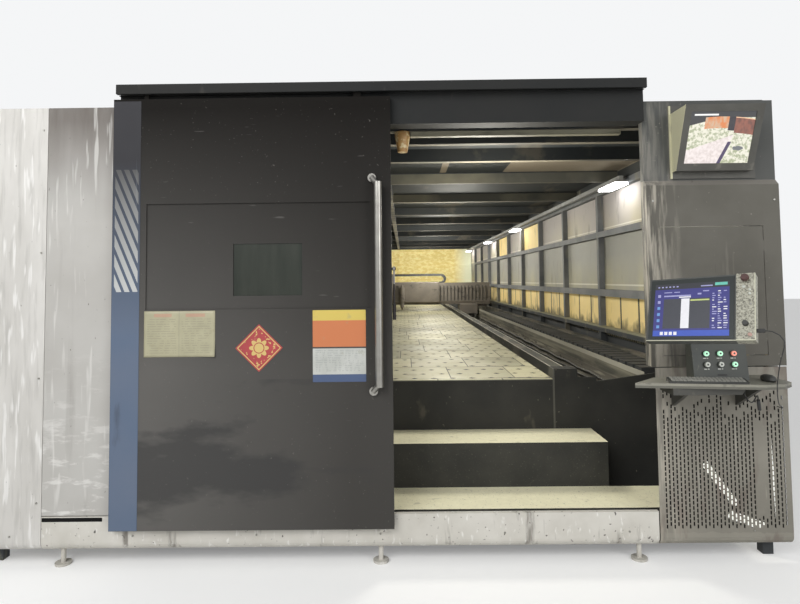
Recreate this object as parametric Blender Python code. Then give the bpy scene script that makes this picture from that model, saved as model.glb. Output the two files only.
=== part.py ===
import math

import bmesh
import bpy
from mathutils import Matrix, Vector

# Overall sizes, in metres: X to the right, Y to the back, Z up
CABIN_LENGTH = 15.2
HALF_WIDTH = 2.32
FRONT_Y = -CABIN_LENGTH / 2
TOUCH = 0.0003
SHEET = 0.004

# Front: heights above the floor and places across it
SKIRT_BOTTOM = 0.09
SKIRT_TOP = 0.283
SKIRT_ROUND = 0.05
SKIRT_DEPTH = 0.03
LEVEL_INSET = 0.10
PANEL_BOTTOM = 0.289
SEAM_LEFT = -1.92
SEAM_RIGHT = 1.57
SEAM_HEIGHT = 1.087
SEAM_GAP = 0.003
COLUMN_LEFT = 1.556
COLUMN_DEPTH = 0.08
LEDGE_LOW = 2.13
LEDGE_HIGH = 2.16
LEDGE_SETBACK = 0.03
FRONT_TOP = 2.63
OPENING_LEFT = 0.02
OPENING_TOP = 2.51
HEADER_DEPTH = 0.12
HEADER_LEFT = -1.50
HEADER_TOP = 2.76
ACCESS_LEFT = 1.625
ACCESS_RIGHT = 2.22
ACCESS_BOTTOM = 1.15
ACCESS_TOP = 1.89
ACCESS_GAP = 0.003
ACCESS_DEPTH = 0.018
HINGE_INSET = 0.08
HINGE_LENGTH = 0.06

# Perforated lower skin
SLOT_WIDTH = 0.012
SLOT_HEIGHT = 0.030
SLOT_PITCH_X = 0.064
SLOT_PITCH_Z = 0.076
SLOT_AREA_LEFT = 1.60
SLOT_AREA_RIGHT = 2.24
SLOT_AREA_BOTTOM = 0.19
SLOT_AREA_TOP = 0.90

# Sliding door
DOOR_LEFT = -1.515
DOOR_RIGHT = 0.08
DOOR_BOTTOM = 0.22
DOOR_TOP = 2.66
DOOR_BACK = -0.010
DOOR_THICKNESS = 0.040
DOOR_RECESS = 0.008
DOOR_SKIN = 0.006
RECESS_LEFT = -1.32
RECESS_RIGHT = -0.04
RECESS_BOTTOM = 1.445
RECESS_TOP = 2.05
WINDOW_LEFT = -0.824
WINDOW_RIGHT = -0.430
WINDOW_BOTTOM = 1.52
WINDOW_TOP = 1.817
WINDOW_LAP = 0.012
WINDOW_THICKNESS = 0.006
STRAP_WIDTH = 0.044
STRAP_THICKNESS = 0.008
STRAP_SHARES = (0.12, 0.88)
TRACK_DEPTH = 0.060
TRACK_BOTTOM = 2.69
TRACK_TOP = 2.745
TRACK_SLOT = 0.016
TRACK_SHEET = 0.003
ROLLER_RADIUS = 0.017
ROLLER_WIDTH = 0.030
AXLE_RADIUS = 0.004
AXLE_PLAY = 0.0005
HANDLE_X = 0.007
HANDLE_RADIUS = 0.0225
HANDLE_BOTTOM = 1.01
HANDLE_TOP = 2.155
HANDLE_STANDOFF = 0.055
STUB_RADIUS = 0.016
STUB_RISE = 0.05
STUB_SHIFT = -0.035
STUB_INSET = 0.02
FLANGE_RADIUS = 0.024
FLANGE_THICKNESS = 0.016
STUB_SHORT = 0.014
LATCH_HEIGHT = 1.665
LATCH_LENGTH = 0.20
LATCH_ROD_RADIUS = 0.005
LATCH_GRIP_RADIUS = 0.010
LATCH_GRIP_LENGTH = 0.09
LATCH_EYE_RADIUS = 0.013
LATCH_EYE_WIDTH = 0.012
LATCH_HEAD_RADIUS = 0.008
LATCH_HEAD_WIDTH = 0.004
LATCH_STANDOFF = 0.006
GUIDE_WIDTH = 0.04
GUIDE_X = 0.0
GUIDE_SHEET = 0.005
GUIDE_ENTRY = 0.016
LEVEL_RADIUS = 0.045
LEVEL_HEIGHT = 0.012
LEVEL_STEM = 0.014

# Steps and table
STEP_LEFT = -1.55
STEP_HIGH_RIGHT = 1.45
STEP_FRONT = 0.115
STEP_MIDDLE = 0.47
TABLE_FRONT = 0.815
STEP_LOW_TOP = 0.264
STEP_HIGH_TOP = 0.545
STEP_LIP = 0.06
RISER_FOOT = 0.06
TABLE_TOP = 0.889
TABLE_SHEET = 0.003
TABLE_HALF_WIDTH = 1.195
TABLE_BACK = 13.5
END_WALL_THICKNESS = 0.015
END_WALL_BOTTOM = 0.10
POST_RIGHT = 1.365
POST_TOP = 0.96
SHOULDER_RIGHT = 1.50
SHOULDER_TOP = 0.90
END_WALL_RIGHT = 1.95
TROUGH_END_TOP = 0.93
SLAT_PITCH = 0.25
SLAT_THICKNESS = 0.006
SLAT_RAIL = 0.02

# Bed and its rails
BED_FRONT = 0.95
BED_BACK = 14.2
BEAM_INNER = 1.30
BEAM_OUTER = 1.60
BEAM_BOTTOM = 0.20
BEAM_TOP = 0.78
CROSS_BOTTOM = 0.50
CROSS_LENGTH = 0.30
CROSS_COUNT = 7
LEG_HALF_WIDTH = 0.15
RAIL_CENTRE = 1.45
RAIL_WIDTH = 0.045
RAIL_HEIGHT = 0.05
COVER_TOP = 0.90
COVER_SPREAD = 0.08
COVER_RISE = 0.015
COVER_SHEET = 0.003
TROUGH_LEFT = 1.84
TROUGH_RIGHT = 2.12
TROUGH_BOTTOM = 0.80
TROUGH_FLANGE = 0.95
CHAIN_BACK = 8.6
CHAIN_TOP = 0.945
CHAIN_PITCH = 0.16
CHAIN_GROOVE = 0.04
CHAIN_NOTCH = 0.04
CHAIN_SIDE_GAP = 0.03

# Cabin walls and roof
WALL_INNER = 2.20
WALL_OUTER = 2.26
WALL_SKIN = 0.04
POST_FIRST = 0.10
POST_PITCH = 1.36
POST_WIDTH = 0.06
ROOF_BOTTOM = 2.52
WALL_RAIL_HEIGHTS = ((0.10, 0.20), (1.04, 1.10), (1.41, 1.48), (2.02, 2.08), (2.46, ROOF_BOTTOM - TOUCH))
ROOF_BEAM_TOP = 2.62
ROOF_BEAM_WIDTH = 0.06
ROOF_EARLY_BEAMS = (0.24, 0.60, 1.20, 2.25)
ROOF_SKIN_TOP = 2.66
RIB_TOP = 2.70
RIB_WIDTH = 0.05
REAR_THICKNESS = 0.08
REAR_POST_HALF = 0.03
LIGHT_LEFT = 2.06
LIGHT_RIGHT = 2.18
LIGHT_BOTTOM = 2.44
LIGHT_RACEWAY = 0.04
LIGHT_LENGTH = 0.45
LIGHT_PLACES = (1.9, 6.8, 10.2, 14.3)

# Gantry, its carriage and the head
GANTRY_FRONT = 10.12
GANTRY_DEPTH = 0.33
GANTRY_HALF_WIDTH = 2.10
GANTRY_BOTTOM = 1.04
GANTRY_TOP = 1.50
GANTRY_RIB_DEPTH = 0.02
GANTRY_RIB_PITCH = 0.08
GANTRY_RAIL_LOW = 1.10
GANTRY_RAIL_HIGH = 1.41
GANTRY_RAIL_HEIGHT = 0.04
TRAY_LIP = 0.03
TRAY_SHEET = 0.02
FOOT_INNER = 1.41
FOOT_OUTER = 1.80
FOOT_LENGTH = 0.60
MOTOR_X = 1.70
MOTOR_RADIUS = 0.06
MOTOR_BOTTOM = 0.55
BRACKET_OUTER = 2.05
BRACKET_HEIGHT = 0.06
CARRIAGE_LEFT = -0.17
CARRIAGE_RIGHT = 0.93
CARRIAGE_BOTTOM = 1.08
CARRIAGE_DEPTH = 0.12
CARRIAGE_PLATE = 0.02
MAST_WIDTH = 0.08
MAST_TOP = 1.735
ARCH_RIGHT = 1.00
ARCH_LOWER = 0.04
ARCH_THICKNESS = 0.05
ARCH_SIDE_GAP = 0.05
HEAD_X = 0.10
HEAD_SLIDE_WIDTH = 0.16
HEAD_SLIDE_DEPTH = 0.05
HEAD_SLIDE_BOTTOM = 1.12
HEAD_SLIDE_TOP = 1.48
HEAD_RADIUS = 0.055
HEAD_NOZZLE = 0.93

# Console, shelf and monitor
CONSOLE_CENTRE = (1.60, -0.474, 1.446)
CONSOLE_YAW = math.radians(-43)
CONSOLE_LEAN = math.radians(-26)
CONSOLE_ROLL = math.radians(-4)
CONSOLE_WIDTH = 0.488
CONSOLE_HEIGHT = 0.341
CONSOLE_DEPTH = 0.045
CONSOLE_EDGE = 0.008
STRIP_WIDTH = 0.080
STRIP_RISE = 0.006
DISPLAY_POCKET = 0.006
DISPLAY_THICKNESS = 0.008
DISPLAY_SIDE_GAP = 0.001
STOP_HEIGHT = 0.140
STOP_RADIUS = 0.018
STOP_LENGTH = 0.024
KNOB_HEIGHT = -0.090
KNOB_RADIUS = 0.014
KNOB_LENGTH = 0.016
CONTROL_GAP = 0.0045
SWIVEL_X = 1.70
SWIVEL_Y = -0.235
SWIVEL_RADIUS = 0.020
SWIVEL_HEIGHT = 1.385
SPIGOT_RADIUS = 0.014
SPIGOT_LENGTH = 0.06
COLLAR_WALL = 0.012
ARM_RADIUS = 0.016
SHELF_TOP = 1.055
SHELF_THICKNESS = 0.025
SHELF_OUTLINE = ((1.337, -0.312), (1.50, -0.15), (2.13, -0.10), (2.13, -0.33), (2.06, -0.39), (1.958, -0.406))
TRAY_LEFT = 1.52
TRAY_RIGHT = 1.90
TRAY_FRONT = -0.34
TRAY_BACK = -0.18
TRAY_HEIGHT = 0.035
TRAY_SLANT = 0.03
GUSSET_PLACES = (1.66, 2.02)
GUSSET_THICKNESS = 0.02
GUSSET_REACH = 0.28
GUSSET_DROP = 0.16
BOX_LEFT = 1.66
BOX_RIGHT = 1.945
BOX_FRONT = -0.28
BOX_BACK = -0.19
BOX_TOP = 1.25
BOX_LEAN = 0.03
BUTTON_RADIUS = 0.013
BUTTON_RIM = 0.003
COLLAR_HEIGHT = 0.006
COLLAR_SINK = 0.002
BUTTON_LENGTH = 0.012
BUTTON_STEP_X = 0.072
BUTTON_STEP_Z = 0.056
KEYBOARD_CENTRE = (1.70, -0.327)
KEYBOARD_WIDTH = 0.38
KEYBOARD_DEPTH = 0.066
KEYBOARD_LOW = 0.010
KEYBOARD_HIGH = 0.022
KEYBOARD_YAW = math.radians(-8)
MOUSE_CENTRE = (2.03, -0.30)
MOUSE_LENGTH = 0.105
MOUSE_WIDTH = 0.060
MOUSE_HEIGHT = 0.034
MONITOR_CENTRE = (1.94, -0.10, 2.38)
MONITOR_TILT = math.radians(23)
MONITOR_WIDTH = 0.441
MONITOR_HEIGHT = 0.374
SCREEN_WIDTH = 0.364
SCREEN_HEIGHT = 0.293
SCREEN_POCKET = 0.010
SCREEN_THICKNESS = 0.006
PLATE_LEFT = 1.71
PLATE_RIGHT = 2.20
PLATE_BOTTOM = 2.17
PLATE_TOP = 2.60
PLATE_THICKNESS = 0.010

# Beacon and leads
BEACON_X = 0.15
BEACON_BACK = 0.24
BEACON_RADIUS = 0.047
BEACON_FOOT_RADIUS = 0.030
BEACON_HEIGHT = 0.125
BEACON_CAP = 0.03
LEAD_RADIUS = 0.0025
PLUG_WIDTH = 0.016
PLUG_HEIGHT = 0.010
PLUG_LENGTH = 0.032
PLUG_DROP = -0.115
PLUG_BACK = 0.022
HANG_X = 1.925
HANG_Y = -0.27
HANG_RADIUS = 0.003
HANG_PLUG_RADIUS = 0.009
HANG_PLUG_LENGTH = 0.060
LEAD_STEPS = 8
LEAD_KNOTS = ((1.845, -0.735, 1.31), (1.86, -0.67, 1.19), (1.975, -0.46, 1.05), (2.11, -0.25, 0.93),
              (2.25, -0.06, 0.865), (2.255, -TOUCH, 0.86))
HANG_KNOTS = ((-0.008, -0.01, 0.05), (0.02, -0.02, 0.085), (0.05, -0.02, 0.05), (0.06, -0.01, 0.075))

# Materials: colour, roughness, metallic
FINISHES = {
    "door_paint": ((0.040, 0.037, 0.036), 0.55, 0.2),
    "silver_paint": ((0.42, 0.41, 0.39), 0.50, 0.3),
    "bronze_paint": ((0.13, 0.12, 0.11), 0.50, 0.3),
    "frame_paint": ((0.16, 0.18, 0.20), 0.60, 0.2),
    "bed_paint": ((0.05, 0.05, 0.055), 0.60, 0.3),
    "pane": ((0.42, 0.40, 0.30), 0.60, 0.0),
    "table_steel": ((0.55, 0.53, 0.44), 0.60, 0.4),
    "dusty_steel": ((0.30, 0.29, 0.26), 0.70, 0.3),
    "stainless": ((0.62, 0.62, 0.62), 0.30, 0.9),
    "dark_plastic": ((0.03, 0.03, 0.032), 0.45, 0.0),
    "pale_plastic": ((0.50, 0.51, 0.50), 0.50, 0.0),
    "glass_dark": ((0.01, 0.02, 0.017), 0.12, 0.0),
    "glass_lit": ((0.08, 0.10, 0.30), 0.20, 0.0),
    "amber": ((0.80, 0.35, 0.05), 0.35, 0.0),
    "red_plastic": ((0.45, 0.03, 0.02), 0.40, 0.0),
    "green_plastic": ((0.05, 0.40, 0.10), 0.40, 0.0),
    "white_plastic": ((0.75, 0.75, 0.72), 0.40, 0.0),
    "black_rubber": ((0.02, 0.02, 0.02), 0.70, 0.0),
}


def back(distance):
    return FRONT_Y + distance


def finish(name):
    found = bpy.data.materials.get(name)
    if found:
        return found
    colour, roughness, metallic = FINISHES[name]
    made = bpy.data.materials.new(name)
    made.use_nodes = True
    shader = made.node_tree.nodes["Principled BSDF"]
    shader.inputs["Base Color"].default_value = (*colour, 1)
    shader.inputs["Roughness"].default_value = roughness
    shader.inputs["Metallic"].default_value = metallic
    return made


def solid(name, points, faces, paint, smooth=False):
    mesh = bpy.data.meshes.new(name)
    mesh.from_pydata([tuple(point) for point in points], [], faces)
    shaper = bmesh.new()
    shaper.from_mesh(mesh)
    bmesh.ops.recalc_face_normals(shaper, faces=shaper.faces)
    shaper.to_mesh(mesh)
    shaper.free()
    made = bpy.data.objects.new(name, mesh)
    bpy.context.collection.objects.link(made)
    mesh.materials.append(finish(paint))
    if smooth:
        mesh.polygons.foreach_set("use_smooth", [True] * len(mesh.polygons))
        mesh.set_sharp_from_angle(angle=math.radians(40))
    return made


def prism(name, outline, axis, start, end, paint):
    turn = {
        "X": lambda u, v, w: (w, u, v),
        "Y": lambda u, v, w: (u, w, v),
        "Z": lambda u, v, w: (u, v, w),
    }[axis]
    count = len(outline)
    points = [turn(u, v, start) for u, v in outline] + [turn(u, v, end) for u, v in outline]
    sides = [(i, (i + 1) % count, count + (i + 1) % count, count + i) for i in range(count)]
    return solid(name, points, [tuple(range(count)), tuple(range(count, 2 * count)), *sides], paint)


def block(name, low, high, paint):
    return prism(name, ((low[0], low[1]), (high[0], low[1]), (high[0], high[1]), (low[0], high[1])),
                 "Z", low[2], high[2], paint)


def folded(line, thickness):
    # Outline of a bent sheet: the given line, then the same line moved to its left
    points = [Vector(point) for point in line]
    runs = [(after - before).normalized() for before, after in zip(points, points[1:])]
    normals = [Vector((-run.y, run.x)) for run in runs]
    moved = []
    for place, point in enumerate(points):
        first = normals[max(place - 1, 0)]
        second = normals[min(place, len(normals) - 1)]
        bisector = (first + second).normalized()
        moved.append(point + bisector * (thickness / bisector.dot(first)))
    return [tuple(point) for point in points + moved[::-1]]


def arc(centre, radius, start, end, steps):
    angles = [math.radians(start + (end - start) * i / steps) for i in range(steps + 1)]
    return [(centre[0] + radius * math.cos(a), centre[1] + radius * math.sin(a)) for a in angles]


def lattice(name, xs, ys, zs, filled, paint, shape=None):
    # A closed body of the grid cells that filled() names, on the given grid lines
    counts = (len(xs) - 1, len(ys) - 1, len(zs) - 1)
    ring = ((0, 0), (1, 0), (1, 1), (0, 1))
    index, points, faces = {}, [], []

    def inside(cell):
        return all(0 <= c < n for c, n in zip(cell, counts)) and filled(*cell)

    def corner(key):
        if key not in index:
            index[key] = len(points)
            place = (xs[key[0]], ys[key[1]], zs[key[2]])
            points.append(shape(*place) if shape else place)
        return index[key]

    cells = [(i, j, k) for i in range(counts[0]) for j in range(counts[1]) for k in range(counts[2])]
    for cell in filter(inside, cells):
        for axis in range(3):
            for side in range(2):
                beside = list(cell)
                beside[axis] += 2 * side - 1
                if inside(tuple(beside)):
                    continue
                corners = []
                for first, second in ring:
                    key = list(cell)
                    key[axis] += side
                    key[(axis + 1) % 3] += first
                    key[(axis + 2) % 3] += second
                    corners.append(corner(tuple(key)))
                faces.append(corners if side else corners[::-1])
    return solid(name, points, faces, paint)


def turned(name, profile, segments, paint, place=None):
    # A body of revolution round Z: a profile from axis to axis, or a closed loop clear of the axis
    looped = profile[0][0] > 0
    points, rings = [], []
    for radius, height in profile:
        steps = segments if radius > 0 else 1
        rings.append([len(points) + i for i in range(steps)])
        for i in range(steps):
            turn = 2 * math.pi * i / segments
            points.append((radius * math.cos(turn), radius * math.sin(turn), height))
    pairs = list(zip(rings, rings[1:])) + ([(rings[-1], rings[0])] if looped else [])
    faces = []
    for low, high in pairs:
        for i in range(segments):
            after = (i + 1) % segments
            if len(low) == 1:
                faces.append((low[0], high[after], high[i]))
            elif len(high) == 1:
                faces.append((low[i], low[after], high[0]))
            else:
                faces.append((low[i], low[after], high[after], high[i]))
    made = solid(name, points, faces, paint, smooth=True)
    if place:
        made.matrix_world = place
    return made


def rod(name, start, end, radius, segments, paint):
    start, end = Vector(start), Vector(end)
    way = end - start
    place = Matrix.Translation(start) @ way.to_track_quat("Z", "Y").to_matrix().to_4x4()
    return turned(name, ((0, 0), (radius, 0), (radius, way.length), (0, way.length)), segments, paint, place)


def combine(body, tools, operation):
    for tool in tools:
        step = body.modifiers.new(tool.name, "BOOLEAN")
        step.operation = operation
        step.solver = "EXACT"
        step.object = tool
        tool.hide_render = True
        tool.display_type = "WIRE"
    return body


def joined(body, *tools):
    return combine(body, tools, "UNION")


def pierced(body, *tools):
    return combine(body, tools, "DIFFERENCE")


def lead(name, points, radius, paint):
    line = bpy.data.curves.new(name, "CURVE")
    line.dimensions = "3D"
    line.bevel_depth = radius
    line.bevel_resolution = 1
    line.use_fill_caps = True
    spline = line.splines.new("POLY")
    spline.points.add(len(points) - 1)
    for target, point in zip(spline.points, points):
        target.co = (*point, 1)
    line.materials.append(finish(paint))
    made = bpy.data.objects.new(name, line)
    bpy.context.collection.objects.link(made)
    return made


def smooth_path(knots, steps):
    # Points of a Catmull-Rom curve through the knots
    knots = [Vector(knot) for knot in knots]
    ends = [2 * knots[0] - knots[1], *knots, 2 * knots[-1] - knots[-2]]
    path = []
    for a, b, c, d in zip(ends, ends[1:], ends[2:], ends[3:]):
        for i in range(steps):
            t = i / steps
            path.append(0.5 * (2 * b + (c - a) * t + (2 * a - 5 * b + 4 * c - d) * t ** 2
                               + (3 * b - a - 3 * c + d) * t ** 3))
    return path + [knots[-1]]


# Front of the cabin
def roll_under(x, y, z):
    # Bends what hangs below the start of the rounded edge back under the cabin
    low = SKIRT_BOTTOM + SKIRT_ROUND
    if z >= low:
        return x, y, z
    quarter = SKIRT_ROUND * math.pi / 2
    along = low - z
    inset = SKIRT_ROUND - (y - FRONT_Y)
    turn = min(along / quarter, 1) * math.pi / 2
    return (x, FRONT_Y + SKIRT_ROUND - inset * math.cos(turn) + max(along - quarter, 0),
            low - inset * math.sin(turn))


def rolled_heights():
    low = SKIRT_BOTTOM + SKIRT_ROUND
    quarter = SKIRT_ROUND * math.pi / 2
    steps = 6
    return [low - quarter - SKIRT_ROUND / 2] + [low - quarter * (steps - i) / steps for i in range(steps + 1)]


def make_front_skirt():
    zs = rolled_heights() + [SKIRT_TOP - SHEET, SKIRT_TOP]
    ys = [FRONT_Y, FRONT_Y + SHEET, FRONT_Y + SKIRT_DEPTH]
    guide_right = GUIDE_X + GUIDE_WIDTH
    xs = [SEAM_LEFT, SEAM_RIGHT - SEAM_GAP, SEAM_RIGHT - TOUCH]
    top = len(zs) - 2
    skirt = lattice("front_skirt", xs, ys, zs,
                    lambda i, j, k: (i == 0 and j == 0) or (j == 1 and k == top), "silver_paint", roll_under)
    slot = strap_middle()
    low = DOOR_BOTTOM - GUIDE_ENTRY
    outline = [(FRONT_Y + SHEET / 2, low - GUIDE_SHEET), (FRONT_Y + SHEET / 2, low),
               (slot + GUIDE_SHEET / 2, low), (slot + GUIDE_SHEET / 2, low + 2 * GUIDE_ENTRY),
               (slot - GUIDE_SHEET / 2, low + 2 * GUIDE_ENTRY), (slot - GUIDE_SHEET / 2, low - GUIDE_SHEET)]
    tools = [prism("skirt_guide", outline, "X", GUIDE_X, guide_right, "silver_paint")]
    for place, x in enumerate((SEAM_LEFT + LEVEL_INSET, 0, SEAM_RIGHT - LEVEL_INSET)):
        foot = Matrix.Translation((x, FRONT_Y + SKIRT_ROUND + SHEET, 0))
        profile = ((0, 0), (LEVEL_RADIUS, 0), (LEVEL_RADIUS, LEVEL_HEIGHT), (LEVEL_STEM, LEVEL_HEIGHT),
                   (LEVEL_STEM, SKIRT_BOTTOM + SHEET / 2), (0, SKIRT_BOTTOM + SHEET / 2))
        tools.append(turned(f"skirt_foot_{place}", profile, 16, "silver_paint", foot))
    return joined(skirt, *tools)


def make_left_column():
    zs = rolled_heights() + [FRONT_TOP - SHEET, FRONT_TOP]
    xs = [-HALF_WIDTH, SHEET - HALF_WIDTH, SEAM_LEFT - SEAM_GAP - SHEET, SEAM_LEFT - SEAM_GAP]
    ys = [FRONT_Y, FRONT_Y + SHEET, FRONT_Y + COLUMN_DEPTH]
    straight = len(rolled_heights()) - 1
    return lattice("left_column", xs, ys, zs,
                   lambda i, j, k: j == 0 or (k >= straight and (i != 1 or k == len(zs) - 2)),
                   "silver_paint", roll_under)


def make_left_panel():
    step = HEADER_LEFT - TOUCH
    xs = [SEAM_LEFT - SEAM_GAP + TOUCH, SEAM_LEFT, SEAM_LEFT + SHEET, step - SHEET, step,
          OPENING_LEFT - SHEET, OPENING_LEFT]
    ys = [FRONT_Y, FRONT_Y + SHEET, FRONT_Y + COLUMN_DEPTH]
    low_top = OPENING_TOP - TOUCH
    zs = [PANEL_BOTTOM, PANEL_BOTTOM + SHEET, low_top - SHEET, low_top, FRONT_TOP - SHEET, FRONT_TOP]

    def filled(i, j, k):
        # Left of the step the panel is taller, and a flange runs round the whole outline
        if k > 2 and i > 3:
            return False
        if j == 0:
            return i > 0
        return i < 2 or k in (0, 4) or (k == 2 and i > 2) or (i == 3 and k > 2) or i == 5

    return lattice("left_panel", xs, ys, zs, filled, "silver_paint")


def make_right_column():
    xs = [COLUMN_LEFT, COLUMN_LEFT + SHEET, ACCESS_LEFT, ACCESS_RIGHT, HALF_WIDTH - SHEET, HALF_WIDTH]
    ys = [FRONT_Y, FRONT_Y + SHEET, FRONT_Y + COLUMN_DEPTH]
    low = SEAM_HEIGHT + SEAM_GAP
    zs = [low, low + SHEET, ACCESS_BOTTOM, ACCESS_TOP, LEDGE_LOW, LEDGE_HIGH, FRONT_TOP - SHEET, FRONT_TOP]

    def filled(i, j, k):
        if j == 0:
            return (i, k) != (2, 2)
        return i in (0, 4) or k in (0, 6)

    def set_back(x, y, z):
        return x, y + (LEDGE_SETBACK if z >= LEDGE_HIGH and y < ys[2] else 0), z

    return lattice("right_column", xs, ys, zs, filled, "bronze_paint", set_back)


def make_access_door():
    low, high = ACCESS_BOTTOM + ACCESS_GAP, ACCESS_TOP - ACCESS_GAP
    xs = [ACCESS_LEFT + ACCESS_GAP, ACCESS_LEFT + ACCESS_GAP + SHEET,
          ACCESS_RIGHT - ACCESS_GAP - SHEET, ACCESS_RIGHT - ACCESS_GAP, ACCESS_RIGHT - TOUCH]
    zs = [low, low + SHEET, low + HINGE_INSET, low + HINGE_INSET + HINGE_LENGTH,
          high - HINGE_INSET - HINGE_LENGTH, high - HINGE_INSET, high - SHEET, high]
    ys = [FRONT_Y, FRONT_Y + SHEET, FRONT_Y + ACCESS_DEPTH]

    def filled(i, j, k):
        if i == 3:
            return j == 0 and k in (2, 4)
        return j == 0 or i != 1 or k in (0, 6)

    return lattice("access_door", xs, ys, zs, filled, "bronze_paint")


def slot_lines(first, last, width, pitch):
    count = int((last - first - width) / pitch) + 1
    start = first + (last - first - width - (count - 1) * pitch) / 2
    return [start + i * pitch for i in range(count)]


def make_perforated_panel():
    columns = slot_lines(SLOT_AREA_LEFT, SLOT_AREA_RIGHT, SLOT_WIDTH, SLOT_PITCH_X)
    rows = slot_lines(SLOT_AREA_BOTTOM, SLOT_AREA_TOP, SLOT_HEIGHT, SLOT_PITCH_Z / 2)
    top = SEAM_HEIGHT
    xs = [SEAM_RIGHT, SEAM_RIGHT + SHEET]
    for x in columns:
        xs += [x, x + SLOT_WIDTH]
    xs += [HALF_WIDTH - SHEET, HALF_WIDTH]
    zs = rolled_heights()
    straight = len(zs) - 1
    for z in rows:
        zs += [z, z + SLOT_HEIGHT]
    zs += [top - SHEET, top]
    ys = [FRONT_Y, FRONT_Y + SHEET, FRONT_Y + COLUMN_DEPTH]

    def filled(i, j, k):
        if j == 1:
            return k >= straight and (i in (0, len(xs) - 2) or k == len(zs) - 2)
        column, row = (i - 2) // 2, (k - straight - 1) // 2
        in_column = i % 2 == 0 and 0 <= column < len(columns)
        in_row = (k - straight) % 2 == 1 and 0 <= row < len(rows)
        return not (in_column and in_row and (column + row) % 2 == 0)

    return lattice("perforated_panel", xs, ys, zs, filled, "bronze_paint", roll_under)


def make_header_beam():
    line = ((FRONT_Y + HEADER_DEPTH, OPENING_TOP), (FRONT_Y, OPENING_TOP),
            (FRONT_Y, HEADER_TOP), (FRONT_Y + HEADER_DEPTH, HEADER_TOP))
    return prism("header_beam", folded(line, -SHEET), "X", HEADER_LEFT, COLUMN_LEFT - TOUCH, "frame_paint")


def strap_middle():
    return FRONT_Y - TOUCH - TRACK_DEPTH / 2


def make_door_rail():
    near, far = strap_middle() - TRACK_DEPTH / 2, strap_middle() + TRACK_DEPTH / 2
    slot = TRACK_SLOT / 2
    line = ((strap_middle() - slot, TRACK_BOTTOM), (near, TRACK_BOTTOM), (near, TRACK_TOP),
            (far, TRACK_TOP), (far, TRACK_BOTTOM), (strap_middle() + slot, TRACK_BOTTOM))
    return prism("door_rail", folded(line, -TRACK_SHEET), "X", HEADER_LEFT, COLUMN_LEFT - TOUCH, "frame_paint")


# Sliding door
def strap_places():
    return [DOOR_LEFT + (DOOR_RIGHT - DOOR_LEFT) * share for share in STRAP_SHARES]


def axle_height():
    return TRACK_BOTTOM + TRACK_SHEET + ROLLER_RADIUS + TOUCH


def make_door_leaf():
    front = FRONT_Y + DOOR_BACK - DOOR_THICKNESS
    straps = []
    for x in strap_places():
        straps += [x - STRAP_WIDTH / 2, x + STRAP_WIDTH / 2]
    xs = sorted([DOOR_LEFT, DOOR_LEFT + SHEET, RECESS_LEFT, WINDOW_LEFT, WINDOW_RIGHT, RECESS_RIGHT,
                 DOOR_RIGHT - SHEET, DOOR_RIGHT, *straps])
    ys = [front, front + DOOR_RECESS, front + DOOR_RECESS + DOOR_SKIN,
          strap_middle() - STRAP_THICKNESS / 2, strap_middle() + STRAP_THICKNESS / 2, FRONT_Y + DOOR_BACK]
    zs = [DOOR_BOTTOM, DOOR_BOTTOM + SHEET, RECESS_BOTTOM, WINDOW_BOTTOM, WINDOW_TOP, RECESS_TOP,
          DOOR_TOP - SHEET, DOOR_TOP, axle_height() + STRAP_WIDTH / 4]

    def within(i, k, low, high, bottom, top):
        return xs[i] >= low and xs[i + 1] <= high and zs[k] >= bottom and zs[k + 1] <= top

    def filled(i, j, k):
        if k == len(zs) - 2:
            return j == 3 and xs[i] in straps[::2]
        if j == 0:
            return not within(i, k, RECESS_LEFT, RECESS_RIGHT, RECESS_BOTTOM, RECESS_TOP)
        if j == 1:
            return not within(i, k, WINDOW_LEFT, WINDOW_RIGHT, WINDOW_BOTTOM, WINDOW_TOP)
        at_end = i in (0, len(xs) - 2)
        if j == 3 and k == 0:
            return at_end
        return at_end or k in (0, len(zs) - 3)

    leaf = lattice("door_leaf", xs, ys, zs, filled, "door_paint")
    bores = [rod(f"axle_bore_{place}", (x, strap_middle() - STRAP_THICKNESS, axle_height()),
                 (x, strap_middle() + STRAP_THICKNESS, axle_height()), AXLE_RADIUS + AXLE_PLAY, 16, "door_paint")
             for place, x in enumerate(strap_places())]
    head = LATCH_STANDOFF + LATCH_EYE_WIDTH + 2 * AXLE_PLAY
    profile = ((0, -SHEET / 2), (LATCH_HEAD_RADIUS, -SHEET / 2), (LATCH_HEAD_RADIUS, LATCH_STANDOFF),
               (AXLE_RADIUS, LATCH_STANDOFF), (AXLE_RADIUS, head), (LATCH_HEAD_RADIUS, head),
               (LATCH_HEAD_RADIUS, head + LATCH_HEAD_WIDTH), (0, head + LATCH_HEAD_WIDTH))
    pin = turned("latch_pin", profile, 16, "door_paint", latch_frame())
    return joined(pierced(leaf, *bores), pin)


def latch_frame():
    # On the door's right edge: local Z points right, local X down
    return Matrix.Translation((DOOR_RIGHT, strap_middle(), LATCH_HEIGHT)) @ Matrix.Rotation(math.pi / 2, 4, "Y")


def make_door_window():
    rear = FRONT_Y + DOOR_BACK - DOOR_THICKNESS + DOOR_RECESS + DOOR_SKIN + TOUCH
    low = (WINDOW_LEFT - WINDOW_LAP, rear, WINDOW_BOTTOM - WINDOW_LAP)
    high = (WINDOW_RIGHT + WINDOW_LAP, rear + WINDOW_THICKNESS, WINDOW_TOP + WINDOW_LAP)
    return block("door_window", low, high, "glass_dark")


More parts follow.
